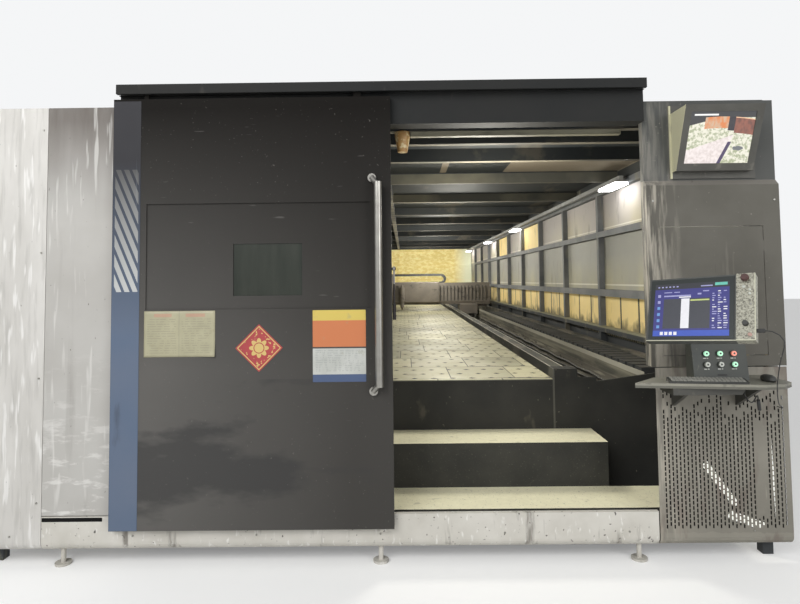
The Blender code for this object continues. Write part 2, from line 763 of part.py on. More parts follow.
def make_door_handle():
    face = FRONT_Y + DOOR_BACK - DOOR_THICKNESS - TOUCH
    middle = face - HANDLE_STANDOFF
    grip = rod("door_handle", (HANDLE_X, middle, HANDLE_BOTTOM), (HANDLE_X, middle, HANDLE_TOP),
               HANDLE_RADIUS, 24, "stainless")
    tools = []
    for place, (height, rise) in enumerate(((HANDLE_BOTTOM + STUB_INSET, -STUB_RISE), (HANDLE_TOP - STUB_INSET, STUB_RISE))):
        foot = Vector((HANDLE_X + STUB_SHIFT, face - STUB_SHORT, height + rise))
        tools.append(rod(f"handle_stub_{place}", (HANDLE_X, middle, height), foot, STUB_RADIUS, 16, "stainless"))
        tools.append(rod(f"handle_flange_{place}", (foot.x, face - FLANGE_THICKNESS, foot.z),
                         (foot.x, face, foot.z), FLANGE_RADIUS, 24, "stainless"))
    return joined(grip, *tools)


def make_door_latch():
    start = LATCH_STANDOFF + AXLE_PLAY
    end = start + LATCH_EYE_WIDTH
    bore = AXLE_RADIUS + AXLE_PLAY
    profile = ((bore, start), (LATCH_EYE_RADIUS, start), (LATCH_EYE_RADIUS, end), (bore, end))
    latch = turned("door_latch", profile, 16, "dark_plastic")
    middle = (start + end) / 2
    reach = LATCH_LENGTH
    latch_rod = rod("latch_rod", (bore + SHEET, 0, middle), (reach + SHEET, 0, middle), LATCH_ROD_RADIUS, 12, "dark_plastic")
    grip = rod("latch_grip", (reach, 0, middle), (reach + LATCH_GRIP_LENGTH, 0, middle),
               LATCH_GRIP_RADIUS, 16, "dark_plastic")
    joined(latch, latch_rod, grip)
    for piece in (latch, latch_rod, grip):
        piece.matrix_world = latch_frame() @ piece.matrix_world
    return latch


def make_rollers():
    half = ROLLER_WIDTH / 2
    inner = STRAP_THICKNESS / 2 + AXLE_PLAY
    profile = ((0, -half), (ROLLER_RADIUS, -half), (ROLLER_RADIUS, -inner), (AXLE_RADIUS, -inner),
               (AXLE_RADIUS, inner), (ROLLER_RADIUS, inner), (ROLLER_RADIUS, half), (0, half))
    turn = Matrix.Rotation(math.pi / 2, 4, "X")
    for name, x in zip(("roller_left", "roller_right"), strap_places()):
        turned(name, profile, 20, "dark_plastic", Matrix.Translation((x, strap_middle(), axle_height())) @ turn)


# Steps and table
def make_steps():
    low_back = back(STEP_MIDDLE) - TOUCH
    line = ((back(STEP_FRONT), RISER_FOOT), (back(STEP_FRONT), STEP_LOW_TOP),
            (low_back, STEP_LOW_TOP), (low_back, STEP_LOW_TOP - STEP_LIP))
    prism("step_lower", folded(line, -SHEET), "X", STEP_LEFT, END_WALL_RIGHT, "dusty_steel")
    high_back = back(TABLE_FRONT) - TOUCH
    line = ((back(STEP_MIDDLE), RISER_FOOT), (back(STEP_MIDDLE), STEP_HIGH_TOP),
            (high_back, STEP_HIGH_TOP), (high_back, STEP_HIGH_TOP - STEP_LIP))
    prism("step_upper", folded(line, -SHEET), "X", STEP_LEFT, STEP_HIGH_RIGHT, "dusty_steel")


def make_bed_end_wall():
    low, top = END_WALL_BOTTOM, TABLE_TOP - TABLE_SHEET
    left = -BEAM_OUTER
    outline = ((left, low), (END_WALL_RIGHT, low), (END_WALL_RIGHT, TROUGH_END_TOP), (SHOULDER_RIGHT, TROUGH_END_TOP - POST_WIDTH),
               (SHOULDER_RIGHT, SHOULDER_TOP), (POST_RIGHT, SHOULDER_TOP), (POST_RIGHT, top), (left, top))
    wall = prism("bed_end_wall", outline, "Y", back(TABLE_FRONT), back(TABLE_FRONT) + END_WALL_THICKNESS, "bed_paint")
    post = block("end_post", (TABLE_HALF_WIDTH + TOUCH, back(TABLE_FRONT), low),
                 (POST_RIGHT, back(BED_FRONT) - TOUCH, POST_TOP), "bed_paint")
    return joined(wall, post)


def make_slat_bed():
    start = back(TABLE_FRONT) + END_WALL_THICKNESS + TOUCH
    count = int((TABLE_BACK - TABLE_FRONT - SLAT_PITCH) / SLAT_PITCH)
    ys = []
    for i in range(count):
        ys += [start + SLAT_PITCH * i, start + SLAT_PITCH * i + SLAT_THICKNESS]
    top = TABLE_TOP - TABLE_SHEET - TOUCH
    xs = [-TABLE_HALF_WIDTH, SLAT_RAIL - TABLE_HALF_WIDTH, TABLE_HALF_WIDTH - SLAT_RAIL, TABLE_HALF_WIDTH]
    return lattice("slat_bed", xs, ys, [BEAM_TOP + TOUCH, top], lambda i, j, k: i != 1 or j % 2 == 0, "dusty_steel")


def make_table_sheet():
    low = (-TABLE_HALF_WIDTH, back(TABLE_FRONT) + END_WALL_THICKNESS + TOUCH, TABLE_TOP - TABLE_SHEET)
    high = (TABLE_HALF_WIDTH, back(TABLE_BACK), TABLE_TOP)
    return block("table_sheet", low, high, "table_steel")


# Bed, rails and cable trough
def make_bed_frame():
    xs = [-BEAM_OUTER, -RAIL_CENTRE - RAIL_WIDTH / 2, RAIL_WIDTH / 2 - RAIL_CENTRE, -BEAM_INNER, -LEG_HALF_WIDTH,
          LEG_HALF_WIDTH, BEAM_INNER, RAIL_CENTRE - RAIL_WIDTH / 2, RAIL_CENTRE + RAIL_WIDTH / 2, BEAM_OUTER]
    zs = [0, BEAM_BOTTOM, CROSS_BOTTOM, BEAM_TOP, BEAM_TOP + RAIL_HEIGHT]
    run = BED_BACK - BED_FRONT - CROSS_LENGTH
    ys = []
    for i in range(CROSS_COUNT):
        ys += [back(BED_FRONT) + run * i / (CROSS_COUNT - 1), back(BED_FRONT) + run * i / (CROSS_COUNT - 1) + CROSS_LENGTH]

    def filled(i, j, k):
        side, rail, middle, crossing = i < 3 or i > 5, i in (1, 7), i == 4, j % 2 == 0
        if k == 3:
            return rail
        if k == 0:
            return crossing and (side or middle)
        return side or (crossing and (k == 2 or middle))

    return lattice("bed_frame", xs, ys, zs, filled, "bed_paint")


def make_rail_covers():
    for name, side in (("rail_cover_left", -1), ("rail_cover_right", 1)):
        line = ((side * BEAM_INNER, BEAM_TOP + TOUCH), (side * BEAM_INNER, COVER_TOP),
                (side * (BEAM_INNER + COVER_SPREAD), COVER_TOP + COVER_RISE))
        prism(name, folded(line, -side * COVER_SHEET), "Y", back(BED_FRONT), back(BED_BACK), "dusty_steel")


def make_cable_trough():
    line = ((TROUGH_LEFT, TROUGH_END_TOP), (TROUGH_LEFT, TROUGH_BOTTOM), (TROUGH_RIGHT, TROUGH_BOTTOM),
            (TROUGH_RIGHT, TROUGH_FLANGE), (WALL_INNER - TOUCH, TROUGH_FLANGE))
    return prism("cable_trough", folded(line, COVER_SHEET), "Y",
                 back(TABLE_FRONT) + END_WALL_THICKNESS + TOUCH, back(BED_BACK), "dusty_steel")


def make_y_chain():
    count = int((CHAIN_BACK - BED_FRONT) / CHAIN_PITCH)
    ys = []
    for i in range(count):
        ys += [back(BED_FRONT) + CHAIN_PITCH * i, back(BED_FRONT) + CHAIN_PITCH * (i + 1) - CHAIN_GROOVE]
    xs = [TROUGH_LEFT + CHAIN_SIDE_GAP, TROUGH_RIGHT - CHAIN_SIDE_GAP]
    zs = [TROUGH_BOTTOM + COVER_SHEET + TOUCH, CHAIN_TOP - CHAIN_NOTCH, CHAIN_TOP]
    return lattice("y_chain", xs, ys, zs, lambda i, j, k: k == 0 or j % 2 == 0, "dark_plastic")


# Cabin walls and roof
def post_lines():
    count = int((CABIN_LENGTH - REAR_THICKNESS - POST_FIRST - POST_WIDTH) / POST_PITCH) + 1
    lines = []
    for i in range(count):
        lines += [back(POST_FIRST) + POST_PITCH * i, back(POST_FIRST) + POST_PITCH * i + POST_WIDTH]
    return lines


def make_walls():
    ys = post_lines()
    zs = [0]
    for low, high in WALL_RAIL_HEIGHTS:
        zs += [low, high]
    skin_ys = [back(COLUMN_DEPTH) + TOUCH, *ys[1:], back(CABIN_LENGTH - REAR_THICKNESS) - TOUCH]
    skin_zs = [WALL_RAIL_HEIGHTS[0][0], ROOF_BEAM_TOP]
    for name, side in (("left", -1), ("right", 1)):
        xs = sorted((side * WALL_INNER, side * WALL_OUTER))
        lattice(f"wall_frame_{name}", xs, ys, zs, lambda i, j, k: j % 2 == 0 or k % 2 == 1, "frame_paint")
        near = WALL_OUTER + TOUCH
        skin_xs = sorted((side * near, side * (HALF_WIDTH - WALL_SKIN / 2), side * HALF_WIDTH))
        ribbed = 1 if side > 0 else 0
        lattice(f"wall_panels_{name}", skin_xs, skin_ys, skin_zs,
                lambda i, j, k, ribbed=ribbed: i != ribbed or j % 2 == 0, "pane")


def make_rear_wall():
    xs = [-HALF_WIDTH, -WALL_INNER, -REAR_POST_HALF, REAR_POST_HALF, WALL_INNER, HALF_WIDTH]
    far = back(CABIN_LENGTH)
    ys = [far - REAR_THICKNESS, far - REAR_THICKNESS / 2, far]
    zs = [0]
    for low, high in WALL_RAIL_HEIGHTS[:-1]:
        zs += [low, high]
    zs += [WALL_RAIL_HEIGHTS[-1][0], ROOF_BEAM_TOP]

    def filled(i, j, k):
        if k == 0:
            return i in (0, 4)
        return j == 1 or i % 2 == 0 or k % 2 == 1

    return lattice("rear_wall", xs, ys, zs, filled, "pane")


def roof_lines():
    first = ROOF_EARLY_BEAMS[-1] + POST_PITCH
    count = int((CABIN_LENGTH - REAR_THICKNESS - first) / POST_PITCH) + 1
    places = [*ROOF_EARLY_BEAMS, *(first + POST_PITCH * i for i in range(count))]
    lines = []
    for place in places:
        lines += [back(place) - ROOF_BEAM_WIDTH / 2, back(place) + ROOF_BEAM_WIDTH / 2]
    return lines


def make_roof():
    ys = roof_lines()
    xs = [-WALL_OUTER, -WALL_INNER, -ROOF_BEAM_WIDTH / 2, ROOF_BEAM_WIDTH / 2, WALL_INNER, WALL_OUTER]
    lattice("roof_frame", xs, ys, [ROOF_BOTTOM, ROOF_BEAM_TOP], lambda i, j, k: j % 2 == 0 or i % 2 == 0, "frame_paint")
    skin_ys = [back(HEADER_DEPTH) + TOUCH]
    for post in post_lines()[2::2]:
        skin_ys += [post, post + RIB_WIDTH]
    skin_ys.append(back(CABIN_LENGTH))
    zs = [ROOF_BEAM_TOP + TOUCH, ROOF_SKIN_TOP, RIB_TOP]
    lattice("roof_panels", [-HALF_WIDTH, HALF_WIDTH], skin_ys, zs, lambda i, j, k: k == 0 or j % 2 == 1, "frame_paint")


def make_light_rail():
    ys = [back(LIGHT_PLACES[0])]
    for place in LIGHT_PLACES:
        ys += [back(place), back(place) + LIGHT_LENGTH]
    ys = ys[1:]
    middle = (LIGHT_LEFT + LIGHT_RIGHT) / 2
    xs = [LIGHT_LEFT, middle - LIGHT_RACEWAY / 2, middle + LIGHT_RACEWAY / 2, LIGHT_RIGHT]
    top = ROOF_BOTTOM - TOUCH
    zs = [LIGHT_BOTTOM, top - LIGHT_RACEWAY, top]
    return lattice("light_rail", xs, ys, zs, lambda i, j, k: i == 1 and k == 1 or j % 2 == 0 and k == 0, "white_plastic")


def make_beacon():
    top = ROOF_BOTTOM - TOUCH
    low = top - BEACON_HEIGHT
    profile = ((0, low), (BEACON_FOOT_RADIUS, low), (BEACON_RADIUS, top - BEACON_CAP), (BEACON_RADIUS, top), (0, top))
    return turned("beacon", profile, 24, "amber", Matrix.Translation((BEACON_X, back(BEACON_BACK), 0)))


# Gantry, its carriage and the head
def make_gantry_beam():
    count = int(2 * GANTRY_HALF_WIDTH / GANTRY_RIB_PITCH)
    pitch = 2 * GANTRY_HALF_WIDTH / count
    xs = [pitch * i / 2 - GANTRY_HALF_WIDTH for i in range(2 * count + 1)]
    near, far = back(GANTRY_FRONT), back(GANTRY_FRONT + GANTRY_DEPTH)
    ys = [near - GANTRY_RIB_DEPTH, near, near + TRAY_SHEET, far - TRAY_SHEET, far]
    zs = [GANTRY_BOTTOM, GANTRY_RAIL_LOW, GANTRY_RAIL_LOW + GANTRY_RAIL_HEIGHT,
          GANTRY_RAIL_HIGH, GANTRY_RAIL_HIGH + GANTRY_RAIL_HEIGHT, GANTRY_TOP, GANTRY_TOP + TRAY_LIP]

    def filled(i, j, k):
        if j == 0:
            return k in (1, 3) or (k == 2 and i % 2 == 1)
        return k < 5 or j in (1, 3)

    return lattice("gantry_beam", xs, ys, zs, filled, "bed_paint")


def make_end_carriages():
    middle = back(GANTRY_FRONT + GANTRY_DEPTH / 2)
    low = BEAM_TOP + RAIL_HEIGHT + TOUCH
    top = GANTRY_BOTTOM - TOUCH
    for name, side in (("end_carriage_left", -1), ("end_carriage_right", 1)):
        span = sorted((side * FOOT_INNER, side * FOOT_OUTER))
        foot = block(name, (span[0], middle - FOOT_LENGTH / 2, low), (span[1], middle + FOOT_LENGTH / 2, top), "bed_paint")
        tools = [rod(f"{name}_motor", (side * MOTOR_X, middle, MOTOR_BOTTOM), (side * MOTOR_X, middle, low + SHEET),
                     MOTOR_RADIUS, 20, "bed_paint")]
        if side > 0:
            tools.append(block(f"{name}_bracket", (FOOT_OUTER - SHEET, middle - MOTOR_RADIUS, top - BRACKET_HEIGHT),
                               (BRACKET_OUTER, middle + MOTOR_RADIUS, top), "bed_paint"))
        joined(foot, *tools)


def make_x_carriage():
    near = back(GANTRY_FRONT) - GANTRY_RIB_DEPTH - TOUCH
    far = back(GANTRY_FRONT + GANTRY_DEPTH)
    edge = CARRIAGE_PLATE
    low = GANTRY_TOP + TRAY_LIP + TOUCH
    top = low + edge
    outline = ((near, CARRIAGE_BOTTOM), (near, low), (far - TRAY_SHEET, low), (far - TRAY_SHEET, top),
               (near - CARRIAGE_DEPTH + edge, top), (near - CARRIAGE_DEPTH, low),
               (near - CARRIAGE_DEPTH, CARRIAGE_BOTTOM + edge), (near - CARRIAGE_DEPTH + edge, CARRIAGE_BOTTOM))
    body = prism("x_carriage", outline, "X", CARRIAGE_LEFT, CARRIAGE_RIGHT, "bed_paint")
    mast = block("carriage_mast", (CARRIAGE_LEFT, back(GANTRY_FRONT) + ARCH_SIDE_GAP, top - edge / 2),
                 (CARRIAGE_LEFT + MAST_WIDTH, far - ARCH_SIDE_GAP, MAST_TOP), "bed_paint")
    return joined(body, mast)


def make_x_chain():
    left = CARRIAGE_LEFT + MAST_WIDTH + TOUCH
    middle = (MAST_TOP + GANTRY_TOP + SHEET) / 2
    outer = (MAST_TOP - GANTRY_TOP - SHEET) / 2
    bend = (ARCH_RIGHT, middle)
    line = [(left, MAST_TOP), *arc(bend, outer, 90, -90, 10), (ARCH_RIGHT - ARCH_LOWER, MAST_TOP - 2 * outer)]
    outline = folded(line, -ARCH_THICKNESS)
    return prism("x_chain", outline, "Y", back(GANTRY_FRONT) + ARCH_SIDE_GAP, back(GANTRY_FRONT + GANTRY_DEPTH) - ARCH_SIDE_GAP,
                 "dark_plastic")


def make_head():
    near = back(GANTRY_FRONT) - GANTRY_RIB_DEPTH - CARRIAGE_DEPTH - 2 * TOUCH
    slide = block("z_slide", (HEAD_X - HEAD_SLIDE_WIDTH / 2, near - HEAD_SLIDE_DEPTH, HEAD_SLIDE_BOTTOM),
                  (HEAD_X + HEAD_SLIDE_WIDTH / 2, near, HEAD_SLIDE_TOP), "stainless")
    radius = HEAD_RADIUS
    top = HEAD_SLIDE_TOP - radius
    profile = ((0, HEAD_NOZZLE), (radius / 8, HEAD_NOZZLE), (radius / 2, HEAD_NOZZLE + radius), (radius * 0.8, HEAD_NOZZLE + radius),
               (radius * 0.8, HEAD_SLIDE_BOTTOM), (radius, HEAD_SLIDE_BOTTOM), (radius, top), (radius / 2, top),
               (radius / 2, HEAD_SLIDE_TOP), (0, HEAD_SLIDE_TOP))
    centre = Matrix.Translation((HEAD_X, near - HEAD_SLIDE_DEPTH - radius - TOUCH, 0))
    turned("cutting_head", profile, 16, "stainless", centre)
    return slide


# Console, shelf and monitor
def console_frame():
    turn = (Matrix.Rotation(CONSOLE_YAW, 4, "Z") @ Matrix.Rotation(CONSOLE_LEAN, 4, "X")
            @ Matrix.Rotation(CONSOLE_ROLL, 4, "Y"))
    x, y, z = CONSOLE_CENTRE
    return Matrix.Translation((x, FRONT_Y + y, z)) @ turn


def swivel_place():
    return Matrix.Translation((SWIVEL_X, FRONT_Y + SWIVEL_Y, 0))


def make_panel_housing():
    width, height, edge = CONSOLE_WIDTH / 2, CONSOLE_HEIGHT / 2, CONSOLE_EDGE
    split = width - STRIP_WIDTH
    xs = [-width, edge - width, split - edge, split, width]
    ys = [-STRIP_RISE, 0, DISPLAY_POCKET, CONSOLE_DEPTH]
    zs = [-height, edge - height, height - edge, height]

    def filled(i, j, k):
        if j == 0:
            return i == 3
        return j == 2 or i in (0, 2, 3) or k != 1

    housing = lattice("panel_housing", xs, ys, zs, filled, "stainless")
    frame = console_frame()
    housing.matrix_world = frame
    post = swivel_place()
    collar_base = SWIVEL_HEIGHT + TOUCH
    bore = SPIGOT_RADIUS + AXLE_PLAY
    outer = bore + COLLAR_WALL
    top = SWIVEL_HEIGHT + SPIGOT_LENGTH
    collar = turned("swivel_collar", ((bore, collar_base), (outer, collar_base), (outer, top), (bore, top)),
                    24, "stainless", post)
    middle = post @ Vector((0, 0, (collar_base + top) / 2))
    rear = frame @ Vector((0, CONSOLE_DEPTH - edge, -edge))
    reach = (rear - middle).normalized()
    start = middle + reach * (bore + COLLAR_WALL / 2)
    arm = rod("swivel_arm", start, rear, ARM_RADIUS, 12, "stainless")
    neck = STOP_RADIUS / 2 + TOUCH
    ring = ((neck, -COLLAR_SINK), (neck + BUTTON_RIM, -COLLAR_SINK), (neck + BUTTON_RIM, COLLAR_HEIGHT), (neck, COLLAR_HEIGHT))
    place = console_place((CONSOLE_WIDTH - STRIP_WIDTH) / 2, -STRIP_RISE, STOP_HEIGHT)
    return joined(housing, collar, arm, turned("stop_collar", ring, 24, "stainless", place))


def make_display():
    width, height, edge = CONSOLE_WIDTH / 2, CONSOLE_HEIGHT / 2, CONSOLE_EDGE + DISPLAY_SIDE_GAP
    split = width - STRIP_WIDTH
    made = block("display", (edge - width, DISPLAY_POCKET - TOUCH - DISPLAY_THICKNESS, edge - height),
                 (split - edge, DISPLAY_POCKET - TOUCH, height - edge), "glass_lit")
    made.matrix_world = console_frame()
    return made


def console_place(x, y, z):
    # Own axis along local Z, pointing out of the panel
    return console_frame() @ Matrix.Translation((x, y, z)) @ Matrix.Rotation(math.pi / 2, 4, "X")


def make_console_controls():
    middle = (CONSOLE_WIDTH - STRIP_WIDTH) / 2
    face = -STRIP_RISE - CONTROL_GAP
    radius = STOP_RADIUS
    neck = STOP_LENGTH / 3
    profile = ((0, 0), (radius / 2, 0), (radius / 2, neck), (radius, neck + TOUCH), (radius, STOP_LENGTH * 0.75),
               (radius * 0.8, STOP_LENGTH), (0, STOP_LENGTH))
    turned("e_stop", profile, 24, "red_plastic", console_place(middle, face, STOP_HEIGHT))
    profile = ((0, 0), (KNOB_RADIUS, 0), (KNOB_RADIUS * 0.85, KNOB_LENGTH), (0, KNOB_LENGTH))
    turned("override_knob", profile, 16, "dark_plastic", console_place(middle, -STRIP_RISE - TOUCH, KNOB_HEIGHT))


def make_shelf():
    low = SHELF_TOP - SHELF_THICKNESS
    outline = [(x, FRONT_Y + y) for x, y in SHELF_OUTLINE]
    shelf = prism("shelf", outline, "Z", low, SHELF_TOP, "dark_plastic")
    under = low - TRAY_HEIGHT
    tray = prism("shelf_tray", ((TRAY_LEFT, low + SHEET), (TRAY_LEFT, under), (TRAY_RIGHT - TRAY_SLANT, under),
                                (TRAY_RIGHT, low + SHEET)), "Y", FRONT_Y + TRAY_FRONT, FRONT_Y + TRAY_BACK, "dark_plastic")
    tools = [tray]
    for place, x in enumerate(GUSSET_PLACES):
        outline = ((FRONT_Y - TOUCH, low + SHEET), (FRONT_Y - TOUCH, low - GUSSET_DROP),
                   (FRONT_Y - GUSSET_REACH, low - SHEET), (FRONT_Y - GUSSET_REACH, low + SHEET))
        tools.append(prism(f"shelf_gusset_{place}", outline, "X", x, x + GUSSET_THICKNESS, "dark_plastic"))
    return joined(shelf, *tools)


def make_button_box():
    low = SHELF_TOP + TOUCH
    outline = ((FRONT_Y + BOX_FRONT, low), (FRONT_Y + BOX_FRONT + BOX_LEAN, BOX_TOP),
               (FRONT_Y + BOX_BACK, BOX_TOP), (FRONT_Y + BOX_BACK, low))
    box = prism("button_box", outline, "X", BOX_LEFT, BOX_RIGHT, "dark_plastic")
    bore = BUTTON_RADIUS + TOUCH
    ring = ((bore, -COLLAR_SINK), (bore + BUTTON_RIM, -COLLAR_SINK), (bore + BUTTON_RIM, COLLAR_HEIGHT), (bore, COLLAR_HEIGHT))
    rings = [turned(f"button_collar_{place}", ring, 16, "dark_plastic", button_place(place, 0)) for place in range(6)]
    profile = ((0, BOX_TOP - SHEET), (SWIVEL_RADIUS, BOX_TOP - SHEET), (SWIVEL_RADIUS, SWIVEL_HEIGHT),
               (SPIGOT_RADIUS, SWIVEL_HEIGHT), (SPIGOT_RADIUS, SWIVEL_HEIGHT + SPIGOT_LENGTH), (0, SWIVEL_HEIGHT + SPIGOT_LENGTH))
    return joined(box, turned("console_post", profile, 24, "dark_plastic", swivel_place()), *rings)


def box_face():
    # Frame on the middle of the leaning front face, local Z pointing out of it
    low = SHELF_TOP + TOUCH
    lean = math.atan2(BOX_LEAN, BOX_TOP - low)
    middle = Matrix.Translation(((BOX_LEFT + BOX_RIGHT) / 2, FRONT_Y + BOX_FRONT + BOX_LEAN / 2, (low + BOX_TOP) / 2))
    return middle @ Matrix.Rotation(math.pi / 2 - lean, 4, "X")


def button_place(place, rise):
    across = (place % 3 - 1) * BUTTON_STEP_X
    up = (0.5 - place // 3) * BUTTON_STEP_Z + BUTTON_STEP_Z / 4
    return box_face() @ Matrix.Translation((across, up, rise))


def make_buttons():
    paints = ("green_plastic", "green_plastic", "red_plastic", "white_plastic", "white_plastic", "green_plastic")
    profile = ((0, 0), (BUTTON_RADIUS, 0), (BUTTON_RADIUS, BUTTON_LENGTH), (0, BUTTON_LENGTH))
    for place, paint in enumerate(paints):
        turned(f"button_{place + 1}", profile, 16, paint, button_place(place, CONTROL_GAP))


def make_keyboard():
    half, deep = KEYBOARD_WIDTH / 2, KEYBOARD_DEPTH / 2
    outline = ((-deep, 0), (deep, 0), (deep, KEYBOARD_HIGH), (-deep, KEYBOARD_LOW))
    made = prism("keyboard", outline, "X", -half, half, "dark_plastic")
    x, y = KEYBOARD_CENTRE
    made.matrix_world = Matrix.Translation((x, FRONT_Y + y, SHELF_TOP + TOUCH)) @ Matrix.Rotation(KEYBOARD_YAW, 4, "Z")
    return made


def make_mouse():
    # A turned dome, drawn out along Y in its mesh
    x, y = MOUSE_CENTRE
    shares = ((0, 0), (0.42, 0), (0.5, 0.3), (0.46, 0.7), (0.30, 0.94), (0, 1))
    made = turned("mouse", shares, 20, "dark_plastic")
    made.data.transform(Matrix.Diagonal((MOUSE_WIDTH, MOUSE_LENGTH, MOUSE_HEIGHT, 1)))
    made.matrix_world = Matrix.Translation((x, FRONT_Y + y, SHELF_TOP + TOUCH))
    return made


def monitor_frame():
    x, y, z = MONITOR_CENTRE
    return Matrix.Translation((x, FRONT_Y + y, z)) @ Matrix.Rotation(MONITOR_TILT, 4, "X")


def make_monitor():
    frame = monitor_frame()
    low, high = (frame @ Vector((0, 0, side * MONITOR_HEIGHT / 2)) for side in (-1, 1))
    wall = back(LEDGE_SETBACK) - TOUCH
    outline = ((low.y, low.z), (high.y, high.z), (wall, high.z), (wall, low.z))
    centre = MONITOR_CENTRE[0]
    housing = prism("monitor_housing", outline, "X", centre - MONITOR_WIDTH / 2, centre + MONITOR_WIDTH / 2, "pale_plastic")
    plate = block("monitor_plate", (PLATE_LEFT, wall - PLATE_THICKNESS, PLATE_BOTTOM), (PLATE_RIGHT, wall, PLATE_TOP), "pale_plastic")
    width, height = SCREEN_WIDTH / 2, SCREEN_HEIGHT / 2
    pocket = block("screen_pocket", (-width, -SCREEN_POCKET, -height), (width, SCREEN_POCKET, height), "pale_plastic")
    pocket.matrix_world = frame
    joined(housing, plate)
    pierced(housing, pocket)
    seat = SCREEN_POCKET - TOUCH
    gap = DISPLAY_SIDE_GAP
    screen = block("monitor_screen", (gap - width, seat - SCREEN_THICKNESS, gap - height), (width - gap, seat, height - gap), "glass_lit")
    screen.matrix_world = frame
    return housing


# Leads
def make_leads():
    frame = console_frame()
    side = CONSOLE_WIDTH / 2 + TOUCH
    plug = block("usb_plug", (side, PLUG_BACK - PLUG_HEIGHT / 2, PLUG_DROP - PLUG_WIDTH / 2),
                 (side + PLUG_LENGTH, PLUG_BACK + PLUG_HEIGHT / 2, PLUG_DROP + PLUG_WIDTH / 2), "black_rubber")
    plug.matrix_world = frame
    exit_point = frame @ Vector((side + PLUG_LENGTH + TOUCH, PLUG_BACK, PLUG_DROP))
    outward = (frame.to_3x3() @ Vector((1, 0, 0))).normalized()
    knots = [exit_point, exit_point + outward * LEAD_RADIUS * 8]
    knots += [Vector((x, FRONT_Y + y, z)) for x, y, z in LEAD_KNOTS]
    lead("usb_lead", smooth_path(knots, LEAD_STEPS), LEAD_RADIUS, "black_rubber")
    low = SHELF_TOP - SHELF_THICKNESS - TOUCH
    knots = [Vector((HANG_X, FRONT_Y + HANG_Y, low)), Vector((HANG_X, FRONT_Y + HANG_Y, low - 4 * HANG_RADIUS))]
    knots += [Vector((HANG_X + x, FRONT_Y + HANG_Y + y, low - z)) for x, y, z in HANG_KNOTS]
    path = smooth_path(knots, LEAD_STEPS)
    lead("hanging_lead", path, HANG_RADIUS, "black_rubber")
    way = (path[-1] - path[-2]).normalized()
    start = path[-1] + way * TOUCH
    rod("hanging_plug", start, start + way * HANG_PLUG_LENGTH, HANG_PLUG_RADIUS, 16, "black_rubber")


def build():
    for obj in list(bpy.data.objects):
        bpy.data.objects.remove(obj, do_unlink=True)
    for make in (make_front_skirt, make_left_column, make_left_panel, make_right_column, make_access_door,
                 make_perforated_panel, make_header_beam, make_door_rail, make_door_leaf, make_door_window,
                 make_door_handle, make_door_latch, make_rollers, make_steps, make_bed_end_wall, make_slat_bed,
                 make_table_sheet, make_bed_frame, make_rail_covers, make_cable_trough, make_y_chain, make_walls,
                 make_rear_wall, make_roof, make_light_rail, make_beacon, make_gantry_beam, make_end_carriages,
                 make_x_carriage, make_x_chain, make_head, make_panel_housing, make_display, make_console_controls,
                 make_shelf, make_button_box, make_buttons, make_keyboard, make_mouse, make_monitor, make_leads):
        make()


build()
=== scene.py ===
import math
import random

import bmesh
import bpy
from mathutils import Matrix, Vector


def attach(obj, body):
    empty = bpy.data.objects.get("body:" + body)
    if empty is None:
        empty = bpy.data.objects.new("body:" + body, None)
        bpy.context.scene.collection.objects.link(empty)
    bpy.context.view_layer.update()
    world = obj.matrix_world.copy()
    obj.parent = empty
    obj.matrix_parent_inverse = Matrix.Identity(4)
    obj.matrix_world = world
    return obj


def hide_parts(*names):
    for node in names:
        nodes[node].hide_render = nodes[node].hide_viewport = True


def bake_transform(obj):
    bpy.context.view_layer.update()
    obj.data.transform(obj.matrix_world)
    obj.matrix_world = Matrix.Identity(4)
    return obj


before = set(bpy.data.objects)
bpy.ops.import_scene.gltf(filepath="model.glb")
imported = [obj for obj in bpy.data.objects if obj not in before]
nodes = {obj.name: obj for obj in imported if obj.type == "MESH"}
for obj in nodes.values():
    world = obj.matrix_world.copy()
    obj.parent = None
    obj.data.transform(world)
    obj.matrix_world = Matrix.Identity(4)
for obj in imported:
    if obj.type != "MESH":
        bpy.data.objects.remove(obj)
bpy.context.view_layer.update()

frontY = -7.6  # plane of the front panels; what lies behind it is frontY plus a distance
touch = 0.0003
print("frame loaded")


# camera, at the place the straight edges give
camera = {"place": (0.15, frontY - 3.4, 1.6), "yaw": -0.370, "pitch": 2.964, "roll": 0.655,
          "focalPixels": 590.0, "axisRow": 249.5, "imageSize": (800, 604)}


def makeCamera(values):
    yaw, pitch, roll = (math.radians(values[key]) for key in ("yaw", "pitch", "roll"))
    ahead = Vector((math.sin(yaw) * math.cos(pitch), math.cos(yaw) * math.cos(pitch), math.sin(pitch)))
    level = Vector((math.cos(yaw), -math.sin(yaw), 0))
    down = ahead.cross(level)
    right = level * math.cos(roll) + down * math.sin(roll)
    down = down * math.cos(roll) - level * math.sin(roll)
    width, height = values["imageSize"]
    data = bpy.data.cameras.new("frontCamera")
    data.sensor_width = 36
    data.lens = values["focalPixels"] / width * data.sensor_width
    data.shift_y = (values["axisRow"] - height / 2) / width
    data.clip_start, data.clip_end = 0.05, 200
    made = bpy.data.objects.new("frontCamera", data)
    bpy.context.collection.objects.link(made)
    turned = Matrix((right, -down, -ahead)).transposed().to_4x4()
    made.matrix_world = Matrix.Translation(values["place"]) @ turned
    bpy.context.scene.camera = made


makeCamera(camera)
print("camera set")


# node helpers; each builds in the tree of the sockets that it is given
def isSocket(value):
    return isinstance(value, bpy.types.NodeSocket)


def treeOf(*values):
    return next(value.id_data for value in values if isSocket(value))


def feed(socket, value):
    if isSocket(value):
        value.id_data.links.new(value, socket)
    else:
        socket.default_value = value


